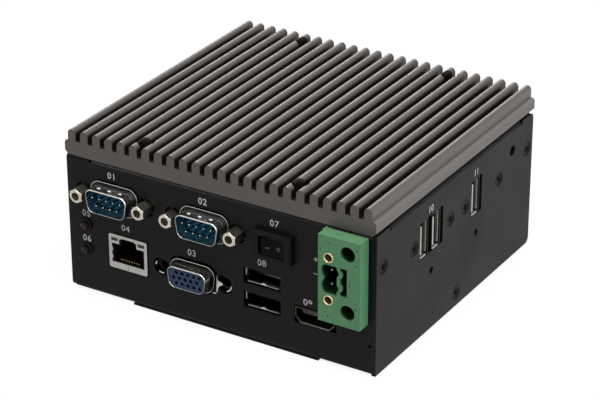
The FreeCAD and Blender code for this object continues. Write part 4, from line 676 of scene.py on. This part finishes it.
TURNS = (12.0, 57.0, 33.0, 71.0, 5.0, 48.0, 22.0)
sunk = [(0.0, -0.0036), (0.00125, -0.0036), (0.0015, -0.0033), (0.0015, -0.00125),
        (0.00246, -0.00020), (0.00250, -0.00008), (0.00240, -0.00003), (0.00205, -0.00010),
        (0.00140, -0.00026), (0.0, -0.00032)]
screws("side_screws_right", "side_screws_right_detailed", sunk, (1, 0, 0), TURNS)
screws("side_screws_left", "side_screws_left_detailed", sunk, (-1, 0, 0), TURNS)


# ---- D connectors
EAR = 0.012495          # from a D connector's middle to each of its screw holes
D_RADIUS = 0.0026       # its corners
SERIAL_WIDE, SERIAL_HIGH = 0.01760, 0.00868
VIDEO_WIDE, VIDEO_HIGH = 0.01633, 0.0079
COLLAR = PANEL - 0.00060    # painted shade covers the collar behind this


def shaded_shell(name, dark, under):
    """Nickel with painted light: lighter on faces turned up, painted shade on faces turned down,
    and painted shade where it runs into the panel.
    """
    made = Graph(name)
    bright = made.blend(made.noise(900.0, 4.0, 0.6), (0.56, 0.56, 0.54), (0.74, 0.74, 0.72))
    under = made.blend(made.noise(900.0, 4.0, 0.6), under, tuple(1.45 * c for c in under))
    way = made.parts_of(made.facing)
    # Painted light: faces turned up get the bright nickel, faces turned down the painted shade in
    # under.
    tone = made.over(made.span(way["Z"], 0.0, 1.0, -0.15, 0.50), under, bright)
    # Painted shade on the collar and flange behind the panel's face.
    mask = made.span(made.parts_of(made.where)["Y"], 0.0, 1.0, COLLAR, COLLAR + 0.00012)
    painted_collar_shade = made.blend(made.noise(1400.0), dark, tuple(1.5 * c for c in dark))
    made.give("Base Color", made.over(mask, tone, painted_collar_shade))
    made.give("Roughness", made.span(made.noise(120.0), 0.19, 0.30))
    made.bump(made.noise(2600.0), 0.00002, 0.3)
    made.give("Metallic", 1.0)
    return made.material


def drawn_shell(node, name, wide, high, front, finish):
    """A drawn shell with rolled rim, collar with a standing lip, and its mounting flange."""
    low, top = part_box(node)
    x = (low.x + top.x) / 2
    z = (low.z + top.z) / 2
    back = top.y
    face = back - 0.0008
    wall = 0.00042
    steps = [(0.00122, face), (0.00122, PANEL - 0.00046), (0.00116, PANEL - 0.00060),
             (0.00104, PANEL - 0.00066), (0.00092, PANEL - 0.00060), (0.00078, PANEL - 0.00040),
             (0.00050, PANEL - 0.00026), (0.00022, PANEL - 0.00030),
             (0.00006, PANEL - 0.00052), (0.0, PANEL - 0.0009),
             (0.0, front + 0.00055), (-0.00003, front + 0.00034), (-0.00010, front + 0.00017),
             (-0.00020, front + 0.00005), (-0.00029, front), (-0.00035, front),
             (-0.00040, front + 0.00006), (-wall, front + 0.00016), (-wall, back)]
    loops = []
    for grown, y in steps + [(0.00122, back)]:
        loops.append([(u, y, v) for u, v in d_points(x, z, wide, high, D_RADIUS, grown)])
    skin = mesh_of(swept(loops), "skin", 40.0)
    holes = [square_points(low.x, top.x, low.z, top.z, 0.0008),
             ring_points(x - EAR, z, 0.00155), ring_points(x + EAR, z, 0.00155),
             d_points(x, z, wide, high, D_RADIUS, 0.0004)]
    flange = plate(holes, face, back)
    return settle(name, join([skin, flange], name), finish, instead=(node,))


SERIAL_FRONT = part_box("serial_port_one_shell")[0].y
# The first colour is the painted shade behind the collar, the second the painted shade on faces
# turned down.
SERIAL_METAL = shaded_shell("serial_shell_finish", (0.022, 0.022, 0.020), (0.165, 0.178, 0.185))
VIDEO_METAL = shaded_shell("video_shell_finish", (0.012, 0.0115, 0.0095), (0.095, 0.097, 0.095))
for word in ("one", "two"):
    drawn_shell("serial_port_" + word + "_shell", "serial_port_" + word + "_drawn_shell",
                SERIAL_WIDE, SERIAL_HIGH, SERIAL_FRONT, SERIAL_METAL)
drawn_shell("video_port_shell", "video_port_drawn_shell", VIDEO_WIDE, VIDEO_HIGH,
            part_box("video_port_shell")[0].y, VIDEO_METAL)

# Three pressed dimples on the top and the foot of each serial shell.
dimple = spun([(0.00062, -0.0001), (0.0006, 0.00002), (0.00050, 0.00016), (0.00032, 0.00025),
               (0.00014, 0.0003), (0.0, 0.00031)], 20)
dimple = mesh_of(dimple, "dimple", 60.0)
dimple.transform(Matrix.Scale(1.35, 4, (1, 0, 0)))
spots = []
for word in ("one", "two"):
    middle = middle_of("serial_port_" + word + "_shell")
    for step in (-1, 0, 1):
        for side, apart in ((1, 0.0043), (-1, 0.00344)):
            spots.append((Vector((middle.x + step * apart, SERIAL_FRONT + 0.0026,
                                  middle.z + side * SERIAL_HIGH / 2)), (0, 0, side), 0.0))
settle("serial_shell_dimples", mesh_of(placed(dimple, spots), "serial_shell_dimples", 60.0),
       FINISH["nickel_shell"])


# Pins with domed tips, smaller than the sockets that take them.
PIN_LONG = 0.0053
PIN_HALF = 0.00036
pin = mesh_of(spun([(0.0, -0.0001), (PIN_HALF, -0.0001), (PIN_HALF, 0.0), (PIN_HALF, 0.0046),
                    (PIN_HALF * 0.8, 0.0050), (PIN_HALF * 0.45, 0.00522), (0.0, PIN_LONG)],
                   16), "pin", 50.0)
for word in ("one", "two"):
    node = "serial_port_" + word + "_pins"
    settle(node + "_domed", at_fronts(node, pin, PIN_LONG), PIN_TIP,
           instead=(node,))


# The video insert has fifteen sockets through its face, in three rows, with painted shade behind
# the face.
def video_sockets():
    low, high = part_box("video_port_insert")
    made = Graph("video_insert_finish")
    tone = made.blend(made.noise(900.0, 4.0, 0.6), (0.020, 0.044, 0.094), (0.032, 0.064, 0.130))
    # Painted shade: the insert is dark deeper than its face.
    depth = made.blend(made.noise(900.0), (0.002, 0.003, 0.008), (0.004, 0.006, 0.014))
    mask = made.span(made.parts_of(made.where)["Y"], 0.0, 1.0, low.y + 0.0001, low.y + 0.0006)
    made.give("Base Color", made.over(mask, tone, depth))
    made.give("Roughness", made.span(made.noise(120.0), 0.42, 0.56))
    made.bump(made.noise(2600.0), 0.00002, 0.35)
    made.give("Specular IOR Level", 0.25)
    x, _, z = middle_of("video_port_shell")
    outlines = [d_points(x, z, VIDEO_WIDE, VIDEO_HIGH, D_RADIUS, -0.00040)]
    pitch = 0.00229
    for row, shift in ((1, 0.00057), (0, -0.00057), (-1, 0.00057)):
        for step in range(-2, 3):
            outlines.append(ring_points(x + shift + step * pitch, z + row * 0.00198, 0.00068,
                                        16))
    face = plate(outlines, low.y, low.y + 0.0022)
    core = plate(outlines[:1], low.y + 0.0022, low.y + 0.0060)
    foot = plate([square_points(low.x, high.x, low.z, high.z)], PANEL + 0.0026, high.y)
    settle("video_port_insert_with_sockets",
           join([face, core, foot], "video_port_insert_with_sockets"), made.material,
           instead=("video_port_insert",))


video_sockets()


# A web of the video port's flange beside its shell, and short tin arcs on the rims of the ear
# holes only where they glint: painted highlights.
def video_ears():
    x, _, z = middle_of("video_port_shell")
    web = [(9.5, 2.4), (9.75, 0.9), (10.6, 0.55), (11.5, 0.35), (11.7, -0.35), (10.9, -0.75),
           (10.2, -1.25), (9.75, -2.1), (9.55, -3.2), (9.2, -3.75), (7.9, -4.15), (7.6, -4.55),
           (8.9, -4.3), (9.25, -3.6), (9.3, -2.1), (9.35, 0.9)]
    parts = [plate([[(x + u * MM, z + v * MM) for u, v in web]], PANEL - 0.00018,
                   PANEL - 0.00002, 0.00003)]
    # Painted highlights: arcs only over the part of each rim that glints.
    for side, start, stop in ((1, -75.0, -5.0), (-1, 240.0, 285.0), (-1, 150.0, 178.0)):
        turns = [math.radians(start + (stop - start) * step / 8) for step in range(9)]
        edge = [(0.0027, turn) for turn in turns] + [(0.0023, turn) for turn in reversed(turns)]
        parts.append(plate([[(x + side * EAR + reach * math.cos(turn), z + reach * math.sin(turn))
                             for reach, turn in edge]], PANEL + 0.0001, PANEL + 0.0006))
    settle("video_port_flange_web_and_glint_arcs", join(parts, "video_port_flange_web_and_glint_arcs"),
           FINISH["tin_can"])


video_ears()


def coil(radius, depth, length, pitch, steps=18):
    """A triangular thread winding down from the mouth of a bore along -Z."""
    rings = []
    for step in range(int(length / pitch * steps) + 1):
        turn = 2 * math.pi * step / steps
        fall = -pitch * step / steps
        ring = []
        for grown, drop in ((0.0, -pitch * 0.46), (-depth, 0.0), (0.0, pitch * 0.46)):
            reach = radius + grown
            ring.append((reach * math.cos(turn), reach * math.sin(turn), fall + drop))
        rings.append(ring)
    return mesh_of(prism(rings), "coil", 50.0)


def threads(node, name, radius, depth, length, pitch, start):
    """A thread in the bore of each solid of a node, dark with painted shade."""
    wound = coil(radius, depth, length, pitch)
    settle(name, at_fronts(node, wound, start, 40.0), DARK_BORE)


threads("serial_jackscrews", "jackscrew_threads", 0.00147, 0.00022, 0.0050, 0.00044, 0.00055)
threads("terminal_inserts", "insert_threads", 0.00123, 0.00016, 0.0048, 0.00040, 0.00070)

# Brass inserts with a rolled mouth.
closed = [(0.0018, -0.0060), (0.0018, 0.00004), (0.00174, 0.00018), (0.00160, 0.00028),
          (0.00150, 0.0003), (0.00138, 0.00020), (0.00128, 0.0), (0.00124, -0.00030),
          (0.00124, -0.0060), (0.0018, -0.0060)]
bm = spun(closed, 36)
bmesh.ops.remove_doubles(bm, verts=bm.verts, dist=1e-7)
insert = mesh_of(bm, "insert", 50.0)
settle("terminal_inserts_rolled", at_fronts("terminal_inserts", insert, 0.0003),
       FINISH["brass_hardware"], instead=("terminal_inserts",))


# ---- softened mouldings
# The cans get DARK_CAN, which is painted shade; the jackscrews get their own nickel.
OWN_OR_SHADE_FINISH = {"screen_port_can": DARK_CAN, "front_port_can": DARK_CAN,
              "side_port_cans": DARK_CAN, "serial_jackscrews": JACK_NICKEL}
for node, width in (("switch_body", 0.00028), ("front_port_can", 0.00012),
                    ("screen_port_can", 0.00010), ("side_port_cans", 0.00010),
                    ("status_light_rings", 0.00010), ("serial_jackscrews", 0.00010)):
    mesh = mesh_of(copy_of(node), node, 30.0)
    settle(node + "_softened", softened(mesh, width), OWN_OR_SHADE_FINISH.get(node, FINISH[SLOT[node]]),
           instead=(node,))
mesh = mesh_of(copy_of("power_rocker"), "power_rocker", 30.0)
settle("power_rocker_softened", softened(mesh, 0.0003, 3), FINISH["rocker_black"],
       "rocker", instead=("power_rocker",))


# ---- power terminal
GUIDE_HEIGHTS = (0.0455, 0.0246)


def from_corner(left, top, points):
    """Points in millimetres right of and under a corner, in metres."""
    return [(left + right * MM, top - under * MM) for right, under in points]


def terminal_block():
    """The green header: two lobes round the pins, a ribbed key slot, wells and mould dots."""
    low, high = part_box("power_terminal")
    top = high.z - 0.0005
    left = low.x
    front = low.y
    brass = [((one.x + two.x) / 2, (one.z + two.z) / 2) for one, two in
             centres("terminal_inserts")]

    cavity = [(2.24, 10.25), (6.86, 10.2), (6.95, 11.0), (7.25, 11.6), (7.62, 12.2),
              (7.62, 12.8), (7.2, 13.4), (6.95, 14.0), (6.9, 15.6), (6.95, 16.7), (7.3, 17.1),
              (7.62, 17.6), (7.5, 18.2), (7.1, 18.8), (6.9, 19.6), (6.9, 20.75), (2.15, 20.75),
              (1.55, 19.9), (1.22, 18.9), (1.18, 17.8), (1.4, 16.8), (1.95, 15.85),
              (2.0, 15.35), (1.5, 14.5), (1.18, 13.4), (1.16, 12.2), (1.45, 11.2)]
    key = [(8.0, 10.2), (10.6, 10.2), (10.6, 20.45), (8.0, 20.45), (8.0, 19.4), (8.2, 18.8),
           (8.7, 18.4), (8.95, 17.7), (8.75, 16.9), (8.2, 16.5), (8.05, 16.0), (8.05, 14.6),
           (8.2, 14.0), (8.75, 13.6), (8.95, 12.9), (8.7, 12.1), (8.2, 11.7), (8.0, 11.1)]
    wells = [ring_points(left + 0.0108, z, 0.0027, 32) for z in GUIDE_HEIGHTS]
    sleeves = [ring_points(x, z, 0.00179, 28) for x, z in brass]
    deep = [from_corner(left, top, cavity), from_corner(left, top, key)] + wells + sleeves
    marks = [(3.75, 2.5), (0.75, 5.05), (14.1, 2.5), (14.1, 7.9), (11.55, 15.7), (3.65, 28.7),
             (13.9, 23.6)]
    dots = [ring_points(x, z, 0.00031, 10) for x, z in from_corner(left, top, marks)]
    body = plate([square_points(left, high.x, low.z, top)] + deep + dots, front, PANEL - 0.0001)
    waist = square_points(left + 0.00095, high.x - 0.00095, low.z + 0.00105, top - 0.00105)
    trunk = plate([waist] + deep, PANEL - 0.0001, PANEL + 0.0064)
    back = plate([waist], PANEL + 0.0064, high.y)
    nub = block(left + 0.0054, left + 0.0068, front + 0.0025, front + 0.0035, top - 0.0002,
                top + 0.0005)
    horn = block(left - 0.0001, left + 0.0007, PANEL - 0.0026, PANEL - 0.0001, top - 0.0012,
                 top + 0.0003)
    pieces = [softened(welded(body, "body"), 0.00016), softened(nub, 0.00012), trunk, back,
              softened(horn, 0.00014)]
    settle("power_terminal_moulded", join(pieces, "power_terminal_moulded"),
           FINISH["terminal_green"], instead=("power_terminal",))


terminal_block()

# The terminal's pins are flat-sided with pointed ends close behind the face.
tip = PANEL - 0.0050
parts = []
for low, high in centres("terminal_pins"):
    x, _, z = (low + high) / 2
    loops = [[(u, y, v) for u, v in square_points(x - half, x + half, z - half, z + half)]
             for y, half in ((tip, 0.00016), (tip + 0.0003, 0.00034), (tip + 0.0006, 0.0005),
                             (high.y, 0.0005))]
    parts.append(softened(mesh_of(prism(loops), "pin"), 0.00006))
settle("terminal_pins_pointed", join(parts, "terminal_pins_pointed"), DULL_PIN,
       instead=("terminal_pins",))


# ---- network jack
def jack_can():
    """A folded can whose face has a stepped mouth, two light windows and a seam."""
    low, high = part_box("network_jack_can")
    left = low.x
    top = high.z

    mouth = [(1.15, 3.35), (4.2, 3.35), (4.2, 1.45), (5.0, 1.45), (5.0, 1.0), (10.5, 1.0),
             (10.5, 1.45), (11.3, 1.45), (11.3, 3.35), (14.35, 3.35), (14.35, 10.4),
             (1.15, 10.4), (1.15, 9.3), (1.5, 9.1), (1.5, 7.9), (1.15, 7.7), (1.15, 6.5),
             (1.5, 6.3), (1.5, 5.1), (1.15, 4.9)]
    windows = [square_points(left + u * MM, left + (u + 2.75) * MM, top - 0.0024, top - 0.0012,
                             0.00015, 3) for u in (0.95, 11.8)]
    seam = [(7.55, 10.7), (7.7, 10.7), (7.7, 12.45), (7.55, 12.45)]
    sheet = 0.0003
    outside = square_points(left, high.x, low.z, top, 0.0008)
    face = plate([outside, from_corner(left, top, mouth)] + windows
                 + [from_corner(left, top, seam)], low.y, low.y + sheet)
    wall = plate([outside, square_points(left + sheet, high.x - sheet, low.z + sheet,
                                         top - sheet, 0.0005)], low.y + sheet, high.y)
    parts = [softened(welded(face, "face"), 0.00007), wall]
    settle("network_jack_folded_can", join(parts, "network_jack_folded_can"), JACK_FACE,
           instead=("network_jack_can",))


jack_can()


# ---- lips of the port cans
def bar(x0, x1, y0, y1, z0, z1, lean=(0.0, 0.0)):
    """A bar whose front end leans sideways by (x, z)."""
    loops = [[(x + lean[0] * share, y, z + lean[1] * share)
              for x, z in square_points(x0, x1, z0, z1)] for y, share in ((y0, 1.0), (y1, 0.0))]
    return softened(mesh_of(prism(loops), "bar"), 0.00005)


THIN = 0.00022          # the springs' sheet
HALF_MOUTH = 0.0062     # from the middle of a stacked port to its side springs
STACK_HALF = 0.004475   # from the middle of the stack to each port's own
for node, finish in (("front_port_tongues", TONGUE), ("screen_port_tongue", TONGUE),
                     ("side_port_tongues", OLIVE)):
    for place in nodes[node].material_slots:
        place.material = finish
parts = []
low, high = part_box("front_port_can")
for side in (1, -1):
    middle = (low.z + high.z) / 2 + side * STACK_HALF
    left = (low.x + high.x) / 2 - HALF_MOUTH
    right = left + 2 * HALF_MOUTH
    foot = middle - 0.0023
    parts.append(bar(left - THIN, left, PANEL + 0.0010, PANEL + 0.0022, middle - 0.0004,
                     middle + 0.0022, (-0.00035, 0.0)))
    parts.append(bar(left + 0.0002, right - 0.0002, PANEL + 0.0009, PANEL + 0.0022, foot,
                     foot + THIN, (0.0, -0.00020)))
    bow = [(left + 0.0049, foot), (left + 0.0076, foot), (left + 0.0071, foot + 0.00032),
           (left + 0.0064, foot + 0.00062), (left + 0.0061, foot + 0.00062),
           (left + 0.0054, foot + 0.00032)]
    parts.append(softened(welded(plate([bow], PANEL + 0.0009, PANEL + 0.0018), "bow"), 0.00008))
settle("front_port_lips", join(parts, "front_port_lips"), FINISH["tin_can"])

# The screen port's lip is in DIM_TIN: painted shade.
low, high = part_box("screen_port_can")
lip = bar(low.x + 0.0021, high.x - 0.0021, low.y - 0.0001, low.y + 0.0008, low.z + 0.00005,
          low.z + 0.0003)
settle("screen_port_lip", lip, DIM_TIN)

parts = []
inner = []
for low, high in centres("side_port_cans"):
    made = []
    half = (high.y - low.y) / 2
    tall = (high.z - low.z) / 2
    made.append(bar(-half + 0.0001, -half + 0.00085, -0.00015, 0.0004, -tall + 0.0015,
                    tall - 0.0013))
    made.append(bar(-half + 0.0004, 0.00115, -0.0001, 0.0012, -tall + 0.0001, -tall + 0.0006,
                    (0.0, -0.00015)))
    place = (Matrix.Translation((high.x, (low.y + high.y) / 2, (low.z + high.z) / 2))
             @ Matrix.Rotation(math.radians(90.0), 4, "Z"))
    for mesh in made:
        mesh.transform(place)
        parts.append(mesh)
    mesh = bar(0.00075, 0.00120, 0.0001, 0.0016, -tall + 0.0012, tall - 0.0006,
               (0.00035, 0.0))
    mesh.transform(place)
    inner.append(mesh)
settle("side_port_lips", join(parts, "side_port_lips"), FINISH["tin_can"])
# The inner lips are in DIM_TIN: painted shade.
settle("side_port_inner_lips", join(inner, "side_port_inner_lips"), DIM_TIN)

# ---- printed numbers
def letters(text, size, weight=0.0):
    """Flat text round the origin in the XY plane, facing +Z."""
    curve = bpy.data.curves.new("letters", "FONT")
    curve.body = text
    curve.size = size
    curve.align_x = "CENTER"
    curve.align_y = "CENTER"
    curve.extrude = 0.000004
    curve.offset = weight
    curve.space_character = 1.12
    return baked(in_scene("working", curve))


TO_RIGHT = Matrix.Rotation(math.radians(90.0), 4, "Z") @ TO_FRONT
HIGH = 0.00325          # the numbers' size
PROUD = 0.000006        # the ink's height over the sheet

# Each number's node, and its place right of and over that node's middle in millimetres.
labels = [("01", "serial_port_one_shell", -1.0, 8.1), ("02", "serial_port_two_shell", -0.8, 8.1),
          ("03", "video_port_shell", -0.4, 8.2), ("04", "network_jack_can", -0.9, 9.4),
          ("05", "drive_light", 0.3, 4.2), ("06", "system_light", 0.1, 3.9),
          ("07", "switch_body", 0.0, 7.7), ("08", "front_port_can", 0.1, 10.65),
          ("09", "screen_port_can", -2.8, 5.0)]
spots = [(text, middle_of(node).x + right * MM, middle_of(node).z + up * MM)
         for text, node, right, up in labels]
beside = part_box("power_terminal")[0].x - 0.0040
spots += [(sign, beside, middle_of("terminal_pins").z + up)
          for sign, up in (("+", 0.0015), ("\u2013", -0.0034))]
parts = []
for text, x, z in spots:
    mesh = letters(text, HIGH, 0.000035)
    mesh.transform(Matrix.Translation((x, PANEL - PROUD, z)) @ TO_FRONT)
    parts.append(mesh)
ports = centres("side_port_cans")
side_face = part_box("side_plate_right")[1].x
for text, low, high in (("10", ports[0][0], ports[1][1]), ("11", *ports[2])):
    mesh = letters(text, HIGH, 0.00005)
    mesh.transform(Matrix.Translation((side_face + PROUD, (low.y + high.y) / 2,
                                       high.z + 0.0024)) @ TO_RIGHT)
    parts.append(mesh)
settle("printed_numbers", join(parts, "printed_numbers"), INK)


def rocker_faces():
    """The middle and the normal of the rocker's two faces, left first."""
    bm = copy_of("power_rocker")
    found = sorted((face for face in bm.faces if face.normal.y < -0.8),
                   key=lambda face: face.calc_area())[-2:]
    found = sorted(((face.calc_center_median().copy(), face.normal.copy()) for face in found),
                   key=lambda pair: pair[0].x)
    bm.free()
    return found


INK_THICK = 0.00001
MARK_PROUD = 0.000012   # the marks' height over the rocker
line = [square_points(-0.00065, 0.00065, -0.00011, 0.00011)]
ring = [ring_points(0.0, 0.0, 0.00062), ring_points(0.0, 0.0, 0.00040)]
parts = []
for (at, way), outlines in zip(rocker_faces(), (line, ring)):
    mark = plate(outlines, 0.0, INK_THICK)
    mark.transform(Matrix.Translation(at + way * MARK_PROUD)
                   @ Matrix.Rotation(math.atan2(way.x, -way.y), 4, "Z"))
    parts.append(mark)
settle("rocker_marks", join(parts, "rocker_marks"), DULL_INK, "rocker")

# ---- floor, light and camera
def plainly_seen(made):
    """1 for what the camera sees, straight, in a reflection or through glass, else 0."""
    path = made.node("LightPath").outputs
    found = path["Is Camera Ray"]
    for word in ("Is Glossy Ray", "Is Transmission Ray"):
        found = made.sum("MAXIMUM", found, path[word])
    return found


WHITE = (1.0, 1.0, 1.0, 1.0)


def lit_white(name, colour, kept, level):
    """White to the camera and in reflections, while part of the shading stays."""
    material = bpy.data.materials.new(name)
    made = Tree(material)
    diffuse = made.node("BsdfDiffuse", Color=(*colour, 1.0))
    glow = made.node("Emission", Color=WHITE, Strength=level)
    mix = made.node("MixShader", Fac=made.times(plainly_seen(made), 1.0 - kept))
    made.feed(mix.inputs[1], diffuse.outputs["BSDF"])
    made.feed(mix.inputs[2], glow.outputs["Emission"])
    made.node("OutputMaterial", Surface=mix.outputs["Shader"])
    return material


FLOOR = -0.00003        # just under the bottom cover, so that they share no plane
REACH = 4.0             # from the floor's middle to each edge
floor_mesh = bpy.data.meshes.new("floor")
floor_mesh.from_pydata([(x, y, FLOOR) for x, y in square_points(-REACH, REACH, -REACH, REACH)], [],
                       [(0, 1, 2, 3)])
floor_mesh.materials.append(lit_white("pale_floor", (0.42, 0.42, 0.42), 0.40, 1.50))
in_scene("floor", floor_mesh)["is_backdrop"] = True

world = bpy.data.worlds.new("studio")
bpy.context.scene.world = world
studio = Tree(world)
sky = studio.node("Background", Color=WHITE,
                  Strength=studio.span(plainly_seen(studio), 0.16, 1.0, 0.0, 1.0))
studio.node("OutputWorld", Surface=sky.outputs["Background"])


def lamp(name, place, aim, size, power):
    data = bpy.data.lights.new(name, "AREA")
    data.shape = "RECTANGLE"
    data.size = size[0]
    data.size_y = size[1]
    data.energy = power
    thing = in_scene(name, data)
    thing.location = place
    thing.rotation_euler = (Vector(aim) - Vector(place)).to_track_quat("-Z", "Y").to_euler()


# Names, places, what they point at, sizes in metres and watts.
lamp("top_softbox", (0.15, -0.35, 1.10), (0.0, 0.0, 0.03), (0.9, 0.9), 8.0)
lamp("right_softbox", (1.05, -0.25, 0.50), (0.0, 0.0, 0.03), (0.7, 0.7), 5.3)
lamp("left_strip", (-0.75, 0.95, 0.42), (0.0, 0.0, 0.05), (0.9, 0.25), 3.9)

camera_data = bpy.data.cameras.new("camera")
camera_data.sensor_width = 36.0
camera_data.lens = 142.98
camera_data.clip_start = 0.05
camera = in_scene("camera", camera_data)
eye = Vector((0.38257, -0.63112, 0.39531))
target = Vector((0.001287, -0.004823, 0.027767))
roll = math.radians(-0.14)
facing = (target - eye).to_track_quat("-Z", "Y").to_matrix().to_4x4()
camera.matrix_world = Matrix.Translation(eye) @ facing @ Matrix.Rotation(roll, 4, "Z")
bpy.context.scene.camera = camera
bpy.context.scene.view_settings.view_transform = "Standard"

low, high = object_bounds()
